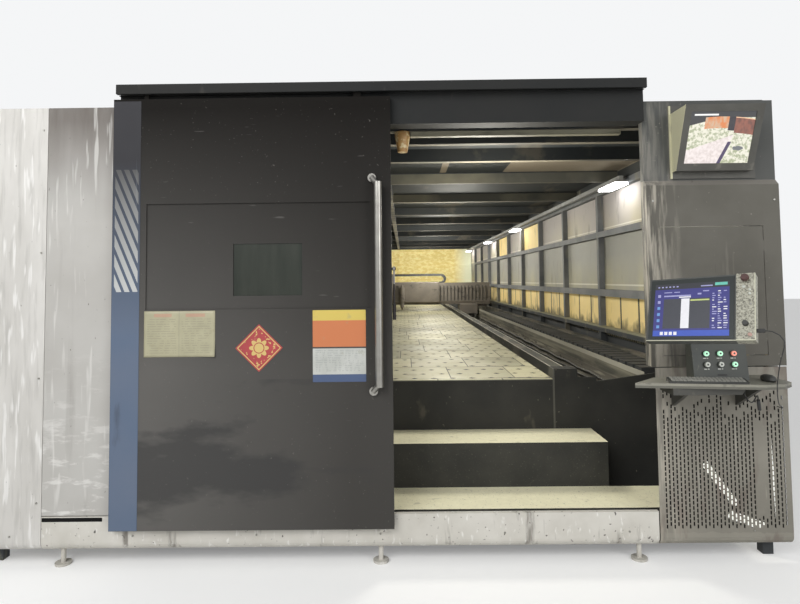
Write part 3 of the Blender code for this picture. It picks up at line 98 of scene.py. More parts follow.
def node(tree, kind, inputs=None, **settings):
    made = tree.nodes.new("ShaderNode" + kind)
    for key, value in settings.items():
        setattr(made, key, value)
    for key, value in (inputs or {}).items():
        feed(made.inputs[key], value)
    return made


def fullColour(value):
    # a colour from a socket, from three parts or from one share of white
    if isSocket(value):
        return value
    return (*value, 1.0) if isinstance(value, (tuple, list)) else (value, value, value, 1.0)


def ramp(source, low, high, lowColour=0, highColour=1):
    made = node(treeOf(source), "ValToRGB", {"Fac": source})
    first, last = made.color_ramp.elements
    first.position, last.position = low, high
    first.color, last.color = fullColour(lowColour), fullColour(highColour)
    return made.outputs["Color"]


def mixed(share, first, second):
    inputs = {"Factor": share, 6: fullColour(first), 7: fullColour(second)}
    return node(treeOf(share, first, second), "Mix", inputs, data_type="RGBA").outputs[2]


def maths(how, first, second=0.0):
    return node(treeOf(first, second), "Math", {0: first, 1: second}, operation=how).outputs[0]


def chained(how, first, *others):
    for other in others:
        first = maths(how, first, other)
    return first


def plus(*parts):
    return chained("ADD", *parts)


def times(*parts):
    return chained("MULTIPLY", *parts)


def larger(*parts):
    return chained("MAXIMUM", *parts)


def minus(first, second):
    return maths("SUBTRACT", first, second)


def divided(first, second):
    return maths("DIVIDE", first, second)


def absolute(value):
    return maths("ABSOLUTE", value)


def fraction(value):
    return maths("FRACT", value)


def below(value, limit):
    return maths("LESS_THAN", value, limit)


def above(value, limit):
    return maths("GREATER_THAN", value, limit)


def between(value, low, high):
    return times(above(value, low), below(value, high))


def fade(value, fromLow, fromHigh, toLow, toHigh):
    inputs = {"Value": value, "From Min": fromLow, "From Max": fromHigh, "To Min": toLow, "To Max": toHigh}
    return node(treeOf(value), "MapRange", inputs).outputs["Result"]


def axes(place):
    return node(treeOf(place), "SeparateXYZ", {"Vector": place}).outputs[:3]


def noise(place, scale, stretch=(1, 1, 1), detail=4.0, turn=(0, 0, 0), rough=0.55):
    mapping = node(treeOf(place), "Mapping", {"Vector": place, "Scale": stretch, "Rotation": turn})
    inputs = {"Vector": mapping.outputs["Vector"], "Scale": scale, "Detail": detail, "Roughness": rough}
    return node(treeOf(place), "TexNoise", inputs).outputs["Fac"]


def localPlace(place, placed):
    # the pattern's own axes on a piece that stands turned
    inputs = {"Vector": place, "Location": placed.to_translation(), "Rotation": placed.to_euler()}
    return node(treeOf(place), "Mapping", inputs, vector_type="TEXTURE").outputs["Vector"]


def newMaterial(name):
    made = bpy.data.materials.new(name)
    made.use_nodes = True
    place = node(made.node_tree, "TexCoord").outputs["Object"]
    return made, made.node_tree.nodes["Principled BSDF"].inputs, place


def grained(shader, height, strength, distance):
    bump = node(treeOf(height), "Bump", {"Height": height, "Strength": strength, "Distance": distance})
    feed(shader["Normal"], bump.outputs["Normal"])


def glowing(shader, colour, mask, strength):
    feed(shader["Emission Color"], mixed(mask, 0, colour))
    feed(shader["Emission Strength"], strength)


# stains run down, scratches lie aslant and specks are round: stretch, turn and detail of each
usualMarks = {"stain": ((1, 1, 0.12), (0, 0, 0), 6.0), "scratch": ((1, 1, 0.04), (0, 0.3, 0), 2.0),
              "speck": ((1, 1, 1), (0, 0, 0), 1.0)}
finishes = {}


def mark(colour, scale, start, share=0.5, blur=0.08, up=None, **others):
    # up stands for a stretch that only draws the marks out upwards
    if up is not None:
        others["stretch"] = (1, 1, up)
    return dict(colour=colour, scale=scale, start=start, share=share, blur=blur, **others)


def wornFinish(name, colour, second, rough, patchScale=2.0, patchStretch=(1, 1, 1), pattern=None,
               grainScale=180.0, grainStretch=(1, 1, 1), bump=0.15, metallic=0.0, shine=0.5, **marks):
    # patchy colour, then the pattern, stains, scratches and specks, and a fine grain
    made, shader, place = newMaterial(name)
    patches = noise(place, patchScale, patchStretch)
    shown = mixed(ramp(patches, 0.35, 0.68), colour, second)
    if pattern:
        shown = pattern(place, shown, shader)
    for kind, (stretch, turn, detail) in usualMarks.items():
        if kind not in marks:
            continue
        given = marks[kind]
        found = noise(place, given["scale"], given.get("stretch", stretch), detail, given.get("turn", turn))
        share = ramp(found, given["start"], given["start"] + given["blur"], 0, given["share"])
        shown = mixed(share, shown, given["colour"])
    grained(shader, noise(place, grainScale, grainStretch, 3.0), bump, 0.002)
    feed(shader["Base Color"], shown)
    feed(shader["Roughness"], fade(patches, 0, 1, *rough))
    feed(shader["Metallic"], metallic)
    feed(shader["Specular IOR Level"], shine)
    finishes[name] = made


def litFinish(name, colour, strength):
    made, shader, place = newMaterial(name)
    shown = mixed(noise(place, 60.0), colour, [part * 0.82 for part in colour])
    feed(shader["Base Color"], shown)
    feed(shader["Emission Color"], shown)
    feed(shader["Emission Strength"], strength)
    feed(shader["Roughness"], 0.3)
    grained(shader, noise(place, 400.0), 0.05, 0.001)
    finishes[name] = made


# patterns that follow the machine's own parts
holePitch = (0.138, 0.20)  # across and along the table
wallSkin = 2.262  # the side panes lie within this distance of the middle
postPitch = 1.36
amberRow = (1.10, 1.41)
railTop = 1.06
upperRow = 2.08
footRailTop = 1.083
rearFace, rearSide = 7.598, 2.26  # inner face of the rear wall and its half width
flangeTop, beamTop, sheetTop = 2.5205, 2.612, 2.6225
trayTop = 1.0295
shelfTop = 1.055
endPlateEdge = 1.19


def sheetJoints(place, colour, shader):
    # cut sheets laid in rows: uneven tone, wide joints between rows, staggered thin ones and holes
    x, y, z = axes(place)
    tree = treeOf(place)
    rowAt = divided(y, 0.56)
    row = maths("FLOOR", rowAt)
    shift = node(tree, "TexWhiteNoise", {"W": row}, noise_dimensions="1D").outputs["Value"]
    across = plus(divided(x, 0.46), times(shift, 7.0))
    cell = node(tree, "CombineXYZ", {"X": maths("FLOOR", across), "Y": row}).outputs["Vector"]
    tone = node(tree, "TexWhiteNoise", {"Vector": cell}).outputs["Value"]
    colour = mixed(times(tone, 0.42), colour, (0.17, 0.165, 0.13))
    wide = times(plus(noise(place, 3.0, (1, 0.2, 1)), -0.32), 0.16)
    rowJoint = below(fraction(rowAt), wide)
    joint = larger(rowJoint, below(fraction(across), 0.018))
    colour = mixed(times(joint, 0.85), colour, (0.045, 0.043, 0.035))
    holeAt = divided(y, holePitch[1])
    stagger = times(maths("MODULO", maths("FLOOR", holeAt), 2.0), 0.5)
    holeAcross = fraction(plus(divided(plus(x, 20.0), holePitch[0]), stagger))
    holeAcross = times(absolute(minus(holeAcross, 0.5)), holePitch[0])
    holeAlong = times(absolute(minus(fraction(holeAt), 0.5)), holePitch[1])
    far = plus(holeAcross, holeAlong, times(noise(place, 25.0), 0.03))
    return mixed(below(far, 0.041), colour, (0.018, 0.018, 0.014))


def dustyTreads(place, colour, shader):
    # dust lies on the two treads and the risers stay dark
    x, y, z = axes(place)
    tread = plus(between(z, 0.2625, 0.2645), above(z, 0.5435))
    dust = mixed(noise(place, 24.0), (0.92, 0.88, 0.64), (0.74, 0.7, 0.49))
    return mixed(tread, colour, dust)


def doorShade(place, colour, shader):
    x, y, z = axes(place)
    # painted shade: the door darkens towards its right side and far more towards its top; the scuffs low down
    # are wear
    lift = fade(z, 1.1, 2.6, 1.0, 0.0)
    scuff = ramp(noise(place, 1.6, (0.7, 1, 1.8), 5.0), 0.52, 0.6, 0, 0.7)
    side = fade(x, -1.3, -0.15, 0.0, 0.72)
    colour = mixed(side, colour, (0.03, 0.028, 0.025))
    low = below(z, 1.05)
    colour = mixed(times(low, scuff), colour, (0.045, 0.045, 0.045))
    return mixed(times(minus(1.0, lift), 0.98), colour, (0.008, 0.007, 0.006))


def paintedSheet(place, z, upright):
    # the cabin's outside: paint with upright seams and one level seam
    paint = mixed(noise(place, 1.8, (1, 1, 0.2), 6.0), (0.42, 0.415, 0.395), (0.32, 0.315, 0.295))
    return mixed(larger(upright, between(z, 1.07, 1.074)), paint, (0.06, 0.06, 0.055))


def paneRows(place, colour, shader):
    # inside: amber panes between thin studs in the low row, grey and pinkish panes above
    x, y, z = axes(place)
    inside = below(absolute(x), wallSkin)
    bay = fraction(divided(minus(y, frontY + 0.1), postPitch))
    low = between(z, *amberRow)
    high = above(z, upperRow)
    bays = plus(between(y, frontY + 5.6, frontY + 6.9), between(y, frontY + 8.3, frontY + 9.6))
    amber = larger(low, times(high, bays))
    splash = plus(z, times(noise(place, 7.0, (1, 1, 0.8), 5.0), 0.36))
    foot = fade(splash, 1.26, 1.36, 0.85, 0.0)
    gold = mixed(noise(place, 5.0), (0.78, 0.6, 0.24), (0.6, 0.47, 0.22))
    gold = mixed(times(foot, low), gold, (0.06, 0.055, 0.035))
    studs = plus(between(bay, 0.345, 0.372), between(bay, 0.672, 0.699))
    gold = mixed(times(studs, low), gold, (0.05, 0.045, 0.03))
    pane = mixed(high, colour, (0.4, 0.37, 0.36))
    rise = minus(z, plus(1.48, times(high, 0.6)))
    warm = fade(rise, 0.02, 0.36, 0.62, 0.0)
    pane = mixed(times(warm, ramp(noise(place, 1.3, (1, 1, 0.5)), 0.36, 0.62)), pane, (0.52, 0.47, 0.27))
    # pale lines along the ledges and at one side of each post: painted highlights
    litLedges = larger(between(z, 1.52, 1.535), between(z, 2.11, 2.122))
    litLedges = larger(litLedges, times(between(bay, 0.075, 0.085), above(z, 1.48)))
    pane = mixed(times(litLedges, 0.55), pane, (0.8, 0.78, 0.68))
    pane = mixed(amber, pane, gold)
    pane = mixed(below(z, railTop), pane, (0.038, 0.042, 0.045))
    # a pale dotted line along the rack: painted glints on its teeth
    teethGlints = below(fraction(divided(y, 0.052)), 0.5)
    teethGlints = times(teethGlints, between(z, 1.006, 1.024), between(y, frontY + 1.7, frontY + 3.6))
    pane = mixed(teethGlints, pane, (0.62, 0.6, 0.48))
    # the inner faces glow faintly, the amber panes more: painted light shining through the panes
    light = plus(0.02, times(amber, 0.22))
    glowing(shader, pane, times(inside, light, above(z, railTop)), 1.0)
    return mixed(inside, paintedSheet(place, z, below(fraction(plus(bay, 0.022)), 0.0045)), pane)


def footRails(place, colour, shader):
    # the foot rail is paler along its upper edge, its lower part and the feet are dark
    x, y, z = axes(place)
    inner = below(absolute(x), wallSkin)
    colour = mixed(times(inner, between(z, footRailTop, 1.101)), colour, (0.25, 0.24, 0.16))
    return mixed(times(inner, below(z, footRailTop)), colour, (0.04, 0.044, 0.047))


def rearPanes(place, colour, shader):
    # inside: amber sheet with pale flakes; outside: painted like the sides
    x, y, z = axes(place)
    side = absolute(x)
    mask = times(between(y, 7.5195, rearFace), above(z, amberRow[0]), below(side, rearSide))
    flakes = ramp(noise(place, 6.5, (1, 1, 1.8), 8.0, (0, 0, 0), 0.7), 0.44, 0.62)
    gold = mixed(flakes, (0.66, 0.53, 0.19), (0.8, 0.7, 0.35))
    pale = fade(x, 1.7, 2.1, 0.0, 1.0)
    gold = mixed(pale, gold, (0.66, 0.66, 0.48))
    # the amber inner face glows faintly: painted light shining through the sheet
    glowing(shader, gold, mask, 0.32)
    inner = mixed(mask, (0.11, 0.115, 0.115), gold)
    outer = paintedSheet(place, z, below(fraction(divided(x, 1.16)), 0.005))
    return mixed(larger(above(y, rearFace), above(side, rearSide)), inner, outer)


def flangeLights(place, colour, shader):
    # the lower flanges of the roof beams and two beam faces, lighter in patches: wear with painted lamp light,
    # and the two pale sheets over the table, painted lighter where lamp light falls on them
    x, y, z = axes(place)
    flange = below(z, flangeTop)
    wearAndLight = ramp(noise(place, 1.3, (1, 6, 1), 4.0), 0.4, 0.62, 0.25, 0.95)
    colour = mixed(times(flange, wearAndLight), colour, (0.235, 0.212, 0.16))
    beams = larger(between(y, frontY + 2.205, frontY + 2.295), between(y, frontY + 3.4, frontY + 3.6))
    faces = times(beams, between(z, flangeTop, beamTop))
    colour = mixed(times(faces, wearAndLight), colour, (0.17, 0.16, 0.118))
    inside = below(z, sheetTop)
    sheet = times(between(y, frontY + 1.25, frontY + 2.2), above(z, beamTop))
    span = larger(above(x, 1.1), between(x, 0.5, 0.56))
    return mixed(times(sheet, inside, times(span, 0.85)), colour, (0.25, 0.21, 0.155))


def cornerDust(place, colour, shader):
    # pale run-off along the column's inner edge
    x, y, z = axes(place)
    near = fade(x, 1.56, 1.76, 1.0, 0.0)
    marks = ramp(noise(place, 34.0, (1, 1, 0.1), 6.0), 0.44, 0.6, 0, 0.9)
    colour = mixed(times(near, marks), colour, (0.4, 0.37, 0.31))
    foot = below(plus(z, times(noise(place, 12.0, (1, 1, 0.3)), 0.06)), 0.195)
    colour = mixed(times(foot, 0.35), colour, (0.3, 0.285, 0.24))
    # darker above 2.16 m, with a paler band just below
    upper = above(z, 2.16)
    colour = mixed(times(upper, 0.6), colour, (0.055, 0.062, 0.065))
    return mixed(times(between(z, 2.13, 2.161), 0.4), colour, (0.3, 0.28, 0.25))


def railEdges(place, colour, shader):
    # the rail covers and the trough: rust, pale streaks on the trough's face, and thin upper edges painted
    # bright: wear and painted highlight
    x, y, z = axes(place)
    rust = ramp(noise(place, 7.0, (1, 0.25, 1), 6.0), 0.5, 0.62, 0, 0.8)
    colour = mixed(rust, colour, (0.17, 0.15, 0.115))
    side = absolute(x)
    streaks = ramp(noise(place, 11.0, (1, 0.06, 2.2), 6.0), 0.4, 0.62, 0.1, 0.75)
    face = times(between(side, 1.83, 1.846), below(z, 0.935))
    colour = mixed(times(face, streaks), colour, (0.3, 0.28, 0.21))
    edge = larger(between(side, 1.3, 1.309), between(side, 1.372, 1.381))
    edge = times(larger(edge, between(side, 1.83, 1.845)), above(z, 0.89))
    return mixed(times(edge, 0.75), colour, (0.46, 0.44, 0.36))


def lampFace(place, colour, shader):
    x, y, z = axes(place)
    mask = below(z, 2.4605)
    glowing(shader, 1.0, mask, 14.0)
    return mixed(mask, colour, 0.9)


def endWallEdges(place, colour, shader):
    # bright edges of the table's front plate and its corner post: painted highlights
    x, y, z = axes(place)
    edge = larger(times(above(z, 0.883), below(x, endPlateEdge)), between(x, endPlateEdge, 1.2035))
    return mixed(times(edge, 0.22), colour, (0.3, 0.29, 0.24))


def placedAt(place, *turns):
    # a place, then turns such as ("Z", 30)
    made = Matrix.Translation(place)
    for axis, degrees in turns:
        made = made @ Matrix.Rotation(math.radians(degrees), 4, axis)
    return made


console = {"centre": (1.60, frontY - 0.474, 1.446), "turns": (("Z", -43), ("X", -26), ("Y", -4)),
           "width": 0.488, "strip": 0.080}
monitor = {"centre": (1.94, frontY - 0.10, 2.38), "turns": (("X", 23),), "screen": (0.362, 0.291)}
consolePlace = placedAt(console["centre"], *console["turns"])
monitorPlace = placedAt(monitor["centre"], *monitor["turns"])


def stripSpecks(place, colour, shader):
    # the dark frame has a pale speckled strip at its right, and its lower and right front edges are painted
    # bright: painted highlights
    local = localPlace(place, consolePlace)
    x, y, z = axes(local)
    strip = above(x, console["width"] / 2 - console["strip"] - 0.0005)
    worn = ramp(noise(local, 120.0, (1, 1, 1), 6.0, rough=0.7), 0.44, 0.62, (0.42, 0.41, 0.33),
                (0.1, 0.095, 0.075))
    colour = mixed(strip, colour, worn)
    edge = larger(between(z, -0.1706, -0.1672), between(x, 0.2412, 0.2441))
    edge = times(edge, below(y, 0.004))
    return mixed(times(edge, 0.85), colour, (0.6, 0.6, 0.46))


def latchParts(place, colour, shader):
    # the rod is bare, the grip below it black
    x, y, z = axes(place)
    return mixed(below(z, 1.578), colour, (0.02, 0.016, 0.016))


def gantryRibs(place, colour, shader):
    # the beam's right half carries upright ribs; the gaps between them are painted dark: painted shade
    x, y, z = axes(place)
    shadedGaps = below(fraction(divided(x, 0.08)), 0.34)
    shadedGaps = times(shadedGaps, times(between(x, 0.93, 2.08), between(z, 1.12, 1.46)))
    return mixed(times(shadedGaps, 0.75), colour, (0.05, 0.047, 0.042))


def trayShade(place, colour, shader):
    # the tray under the shelf is dark, and so is the lower half of the shelf's edge
    x, y, z = axes(place)
    colour = mixed(between(z, trayTop, 1.0425), colour, (0.115, 0.112, 0.092))
    return mixed(below(z, trayTop), colour, (0.05, 0.049, 0.042))


def panelScuffsAndShade(place, colour, shader):
    # the panel's upper end darkens in streaks: painted shadow with dirt runs in it; pale scuffs lie low
    x, y, z = axes(place)
    scuffs = ramp(noise(place, 7.0, (0.7, 1, 2.6), 6.0, (0, 0.25, 0), 0.65), 0.54, 0.62, 0, 0.75)
    foot = fade(z, 0.35, 1.25, 1.0, 0.0)
    colour = mixed(times(scuffs, foot), colour, (0.7, 0.69, 0.66))
    high = fade(z, 1.95, 2.55, 0.0, 0.92)
    shadeAndRuns = times(high, plus(0.45, noise(place, 7.0, (1, 1, 0.12), 6.0)))
    return mixed(shadeAndRuns, colour, (0.115, 0.1, 0.088))


def cheekLight(place, colour, shader):
    # the housing's left cheek is painted paler than its face: painted light on that side
    x, y, z = axes(place)
    return mixed(below(x, 1.72), colour, (0.52, 0.5, 0.34))


wornFinish("doorPaint", (0.108, 0.104, 0.098), (0.122, 0.117, 0.11), (0.62, 0.8), 1.2,
           scratch=mark((0.2, 0.19, 0.18), 26, 0.72, 0.3, stretch=(0.25, 1, 1.6), turn=(0, 0.5, 0)),
           speck=mark((0.2, 0.19, 0.17), 70, 0.74, 0.4), shine=0.08, grainScale=420, bump=0.1,
           pattern=doorShade)
wornFinish("silverPaint", (0.6, 0.585, 0.555), (0.5, 0.485, 0.455), (0.48, 0.68), 3,
           patchStretch=(1.6, 1, 0.5), stain=mark((0.3, 0.29, 0.27), 30, 0.5, up=0.09, blur=0.22),
           scratch=mark((0.8, 0.79, 0.77), 30, 0.58, 0.6, up=0.12),
           speck=mark((0.1, 0.09, 0.08), 60, 0.73, 0.8, up=0.5), metallic=0.15, shine=0.35, grainScale=260,
           bump=0.2)
wornFinish("panelSilver", (0.47, 0.46, 0.435), (0.4, 0.385, 0.36), (0.48, 0.68), 1.6,
           stain=mark((0.22, 0.205, 0.185), 9, 0.56, up=0.08, blur=0.2),
           scratch=mark((0.66, 0.65, 0.62), 26, 0.6, up=0.1),
           speck=mark((0.1, 0.09, 0.08), 60, 0.72, 0.8, up=0.5), metallic=0.15, shine=0.35, grainScale=260,
           bump=0.2, pattern=panelScuffsAndShade)
wornFinish("skirtPaint", (0.62, 0.6, 0.55), (0.5, 0.48, 0.43), (0.5, 0.7), 3.5,
           stain=mark((0.1, 0.085, 0.07), 16, 0.6, 0.7, up=0.12, blur=0.1),
           scratch=mark((0.8, 0.79, 0.76), 40, 0.62, 0.6, up=0.3),
           speck=mark((0.06, 0.05, 0.045), 48, 0.7, 0.9), metallic=0.1, shine=0.35, grainScale=260, bump=0.25)
wornFinish("bronzePaint", (0.112, 0.106, 0.09), (0.084, 0.079, 0.066), (0.55, 0.75), 2.4,
           stain=mark((0.24, 0.22, 0.19), 12, 0.62, 0.4, up=0.07),
           scratch=mark((0.055, 0.05, 0.045), 30, 0.68, up=0.08), speck=mark((0.3, 0.28, 0.24), 55, 0.72),
           metallic=0.1, shine=0.3, grainScale=260, bump=0.2, pattern=cornerDust)
wornFinish("skinPaint", (0.25, 0.236, 0.2), (0.195, 0.184, 0.155), (0.55, 0.75), 2.4,
           stain=mark((0.125, 0.088, 0.075), 7, 0.55, 0.45, up=0.3),
           scratch=mark((0.4, 0.38, 0.33), 38, 0.66, up=0.06), speck=mark((0.34, 0.32, 0.28), 55, 0.72),
           metallic=0.1, shine=0.3, grainScale=260, bump=0.2, pattern=cornerDust)
wornFinish("framePaint", (0.115, 0.122, 0.128), (0.19, 0.195, 0.195), (0.55, 0.8), 3.5,
           stain=mark((0.28, 0.25, 0.17), 5, 0.58, 0.35, up=0.3), shine=0.3, bump=0.2, pattern=footRails)
wornFinish("roofPaint", (0.026, 0.03, 0.032), (0.048, 0.05, 0.048), (0.6, 0.85), 1.6,
           stain=mark((0.12, 0.105, 0.08), 3, 0.58, stretch=(1, 0.3, 1)), shine=0.25, bump=0.2,
           pattern=flangeLights)
wornFinish("headerPaint", (0.011, 0.012, 0.012), (0.018, 0.018, 0.017), (0.6, 0.8),
           stain=mark((0.12, 0.11, 0.09), 5, 0.62, 0.4, up=0.2), shine=0.25)
wornFinish("bedPaint", (0.026, 0.026, 0.023), (0.04, 0.039, 0.034), (0.6, 0.85), 4,
           stain=mark((0.12, 0.105, 0.08), 7, 0.64, up=0.5), speck=mark((0.2, 0.18, 0.14), 40, 0.74, 0.6),
           shine=0.25, bump=0.25, pattern=endWallEdges)
wornFinish("gantryPaint", (0.145, 0.13, 0.112), (0.19, 0.168, 0.142), (0.55, 0.8), 5,
           stain=mark((0.06, 0.055, 0.05), 9, 0.58, 0.6, stretch=(0.6, 1, 1)), metallic=0.1, shine=0.3,
           bump=0.2, pattern=gantryRibs)
wornFinish("stepSteel", (0.028, 0.028, 0.024), (0.045, 0.044, 0.037), (0.65, 0.9), 4.5,
           stain=mark((0.07, 0.065, 0.05), 14, 0.64, 0.35, up=1),
           speck=mark((0.1, 0.095, 0.075), 90, 0.66, 0.45), shine=0.3, grainScale=90, bump=0.4,
           pattern=dustyTreads)
wornFinish("tableSheet", (0.54, 0.51, 0.34), (0.44, 0.41, 0.265), (0.45, 0.75), 2.2,
           stain=mark((0.22, 0.2, 0.14), 6, 0.6, stretch=(1, 0.6, 1)),
           speck=mark((0.16, 0.14, 0.1), 30, 0.7, 0.6), metallic=0.15, shine=0.3, bump=0.25,
           pattern=sheetJoints)
wornFinish("slatSteel", (0.17, 0.16, 0.13), (0.11, 0.1, 0.085), (0.6, 0.85), 6,
           stain=mark((0.05, 0.045, 0.04), 20, 0.55), bump=0.4)
wornFinish("trailSteel", (0.05, 0.05, 0.041), (0.08, 0.078, 0.06), (0.55, 0.8), 4,
           stain=mark((0.24, 0.22, 0.16), 9, 0.62, 0.45, stretch=(1, 0.3, 1)), metallic=0.1, shine=0.3,
           bump=0.25, pattern=railEdges)
wornFinish("chainPlastic", (0.022, 0.024, 0.025), (0.038, 0.039, 0.038), (0.5, 0.75), 9,
           stain=mark((0.16, 0.15, 0.12), 30, 0.64, 0.3, up=1), bump=0.2)
wornFinish("handleSteel", (0.36, 0.35, 0.32), (0.26, 0.25, 0.23), (0.24, 0.42), 8,
           stain=mark((0.2, 0.19, 0.16), 24, 0.66, up=0.15), metallic=0.9, grainScale=300,
           grainStretch=(1, 1, 0.04), bump=0.12)
wornFinish("consoleSteel", (0.05, 0.054, 0.05), (0.07, 0.072, 0.066), (0.35, 0.55), 12,
           stain=mark((0.16, 0.15, 0.12), 60, 0.58, 0.2, up=1), metallic=0.1, grainScale=420,
           pattern=stripSpecks)
wornFinish("blackPlastic", (0.026, 0.027, 0.025), (0.038, 0.038, 0.034), (0.42, 0.62), 14,
           stain=mark((0.15, 0.14, 0.12), 30, 0.64, 0.3, up=1), grainScale=600)
wornFinish("boxPaint", (0.04, 0.046, 0.041), (0.06, 0.064, 0.056), (0.42, 0.62), 9,
           stain=mark((0.17, 0.16, 0.13), 40, 0.64, 0.4, up=1), grainScale=500)
wornFinish("latchSteel", (0.36, 0.35, 0.33), (0.22, 0.21, 0.2), (0.4, 0.6), 30, metallic=0.4, bump=0.1,
           pattern=latchParts)
wornFinish("shelfPaint", (0.2, 0.195, 0.16), (0.26, 0.25, 0.205), (0.4, 0.6), 9,
           stain=mark((0.09, 0.085, 0.07), 22, 0.6, up=1), scratch=mark((0.5, 0.49, 0.44), 60, 0.7),
           metallic=0.1, pattern=trayShade)
wornFinish("monitorCase", (0.092, 0.09, 0.08), (0.072, 0.07, 0.062), (0.5, 0.7), 6,
           stain=mark((0.2, 0.19, 0.16), 18, 0.62, 0.4, up=0.4), shine=0.3, bump=0.12, pattern=cheekLight)
wornFinish("paneSkin", (0.25, 0.25, 0.225), (0.32, 0.315, 0.28), (0.5, 0.75), 1.4,
           stain=mark((0.11, 0.105, 0.085), 6, 0.6, up=0.3), shine=0.3, bump=0.12, pattern=paneRows)
wornFinish("rearSkin", (0.3, 0.29, 0.25), (0.26, 0.25, 0.22), (0.5, 0.75), 1.4, shine=0.3, bump=0.12,
           pattern=rearPanes)
wornFinish("rubber", (0.018, 0.018, 0.018), (0.028, 0.028, 0.027), (0.55, 0.75), 30, grainScale=700, bump=0.2)
wornFinish("laserGlass", (0.014, 0.019, 0.013), (0.026, 0.03, 0.022), (0.12, 0.3), 4, patchStretch=(3, 1, 0.4),
           stain=mark((0.075, 0.08, 0.07), 26, 0.62, 0.4, up=0.03), grainScale=60, bump=0.04)
wornFinish("gripRed", (0.085, 0.026, 0.022), (0.045, 0.022, 0.02), (0.35, 0.55), 30,
           stain=mark((0.03, 0.03, 0.03), 20, 0.55))
wornFinish("beaconLens", (0.6, 0.36, 0.13), (0.4, 0.22, 0.08), (0.25, 0.5), 16,
           stain=mark((0.85, 0.74, 0.45), 30, 0.52, 0.8, up=1), bump=0.08)
wornFinish("lampCase", (0.3, 0.31, 0.31), (0.22, 0.22, 0.21), (0.5, 0.7), 6, bump=0.1, pattern=lampFace)
wornFinish("capWhite", (0.62, 0.64, 0.58), (0.44, 0.45, 0.4), (0.25, 0.45), 60, bump=0.05)
litFinish("capGreen", (0.42, 0.84, 0.56), 0.60)
litFinish("capRed", (0.88, 0.26, 0.18), 0.50)
litFinish("screenDark", (0.012, 0.016, 0.015), 0.4)
print("finishes made")

# which finish every node wears
nodeFinishes = {
    "doorPaint": "door_leaf", "laserGlass": "door_window", "handleSteel": "door_handle",
    "consoleSteel": "panel_housing", "silverPaint": "left_column", "panelSilver": "left_panel",
    "skirtPaint": "front_skirt", "bronzePaint": "right_column access_door", "skinPaint": "perforated_panel",
    "framePaint": "wall_frame_left wall_frame_right", "headerPaint": "header_beam door_rail",
    "roofPaint": "roof_frame roof_panels", "bedPaint": "bed_end_wall bed_frame",
    "gantryPaint": "gantry_beam z_slide cutting_head end_carriage_left end_carriage_right x_carriage",
    "stepSteel": "step_lower step_upper", "slatSteel": "slat_bed",
    "trailSteel": "rail_cover_left rail_cover_right cable_trough", "chainPlastic": "y_chain x_chain",
    "blackPlastic": "roller_left roller_right override_knob keyboard mouse", "boxPaint": "button_box",
    "shelfPaint": "shelf", "monitorCase": "monitor_housing", "paneSkin": "wall_panels_left wall_panels_right",
    "rearSkin": "rear_wall", "rubber": "usb_plug usb_lead hanging_lead hanging_plug",
    "tableSheet": "table_sheet", "lampCase": "light_rail", "screenDark": "display", "beaconLens": "beacon",
    "gripRed": "e_stop", "latchSteel": "door_latch", "capGreen": "button_1 button_2 button_6",
    "capRed": "button_3", "capWhite": "button_4 button_5",
}


# modelling helpers
def dress(thing, finish):
    thing.data.materials.clear()
    thing.data.materials.append(finishes[finish])


for finish, names in nodeFinishes.items():
    for name in names.split():
        dress(nodes[name], finish)


def deselect():
    bpy.ops.object.select_all(action="DESELECT")


def select(thing):
    deselect()
    thing.select_set(True)
    bpy.context.view_layer.objects.active = thing


def settle(thing):
    select(thing)
    bpy.ops.object.transform_apply(location=True, rotation=True, scale=True)


def named(name):
    # the primitive just added gets its name, and its place goes into its points
    made = bpy.context.active_object
    made.name = name
    settle(made)
    return made


def applyModifier(thing, kind, **values):
    select(thing)
    made = thing.modifiers.new(kind.title(), kind)
    for key, value in values.items():
        setattr(made, key, value)
    bpy.ops.object.modifier_apply(modifier=made.name)


def pick(made, kind, wanted):
    # edit mode, with the faces or edges that pass the test selected
    bpy.ops.object.mode_set(mode="EDIT")
    bpy.ops.mesh.select_mode(type=kind)
    bpy.ops.mesh.select_all(action="DESELECT")
    mesh = bmesh.from_edit_mesh(made.data)
    for part in mesh.faces if kind == "FACE" else mesh.edges:
        part.select_set(wanted(part))
    bmesh.update_edit_mesh(made.data)


def pickTop(made):
    pick(made, "FACE", lambda face: face.normal.z > 0.9)


def leaveEdit():
    bpy.ops.object.mode_set(mode="OBJECT")


def extrude(move):
    bpy.ops.mesh.extrude_region_move(TRANSFORM_OT_translate={"value": move})


def smoothSides(made, axis):
    # flat ends across the axis, smooth faces round it
    for face in made.data.polygons:
        face.use_smooth = abs(face.normal["XYZ".index(axis)]) < 0.9


def thinPlate(name, centre, size, finish, cut=0.003, soften=0.0, facing="Y"):
    # a sheet with cut corners; facing is the axis through its thickness
    deselect()
    bpy.ops.mesh.primitive_cube_add(size=1, location=centre, scale=size)
    made = named(name)
    axis = "XYZ".index(facing)

    def through(edge):
        return abs((edge.verts[1].co - edge.verts[0].co)[axis]) > 0.9 * edge.calc_length()

    pick(made, "EDGE", through)
    bpy.ops.mesh.bevel(offset=cut, segments=3, affect="EDGES")
    leaveEdit()
    if soften:
        applyModifier(made, "BEVEL", width=soften, segments=2, limit_method="ANGLE")
    dress(made, finish)
    return made


def boxShape(values):
    # centre and size in the front's plane of a piece with left, right, bottom and top
    across, up = values["right"] - values["left"], values["top"] - values["bottom"]
    return (values["left"] + values["right"]) / 2, (values["bottom"] + values["top"]) / 2, across, up


def disc(name, radius, rise, base=0.0, vertices=20):
    deselect()
    bpy.ops.mesh.primitive_cylinder_add(vertices=vertices, radius=radius, depth=rise,
                                        location=(0, 0, base + rise / 2))
    return named(name)


def joined(name, things):
    select(things[0])
    for thing in things:
        thing.select_set(True)
    bpy.ops.object.join()
    things[0].name = name
    return things[0]


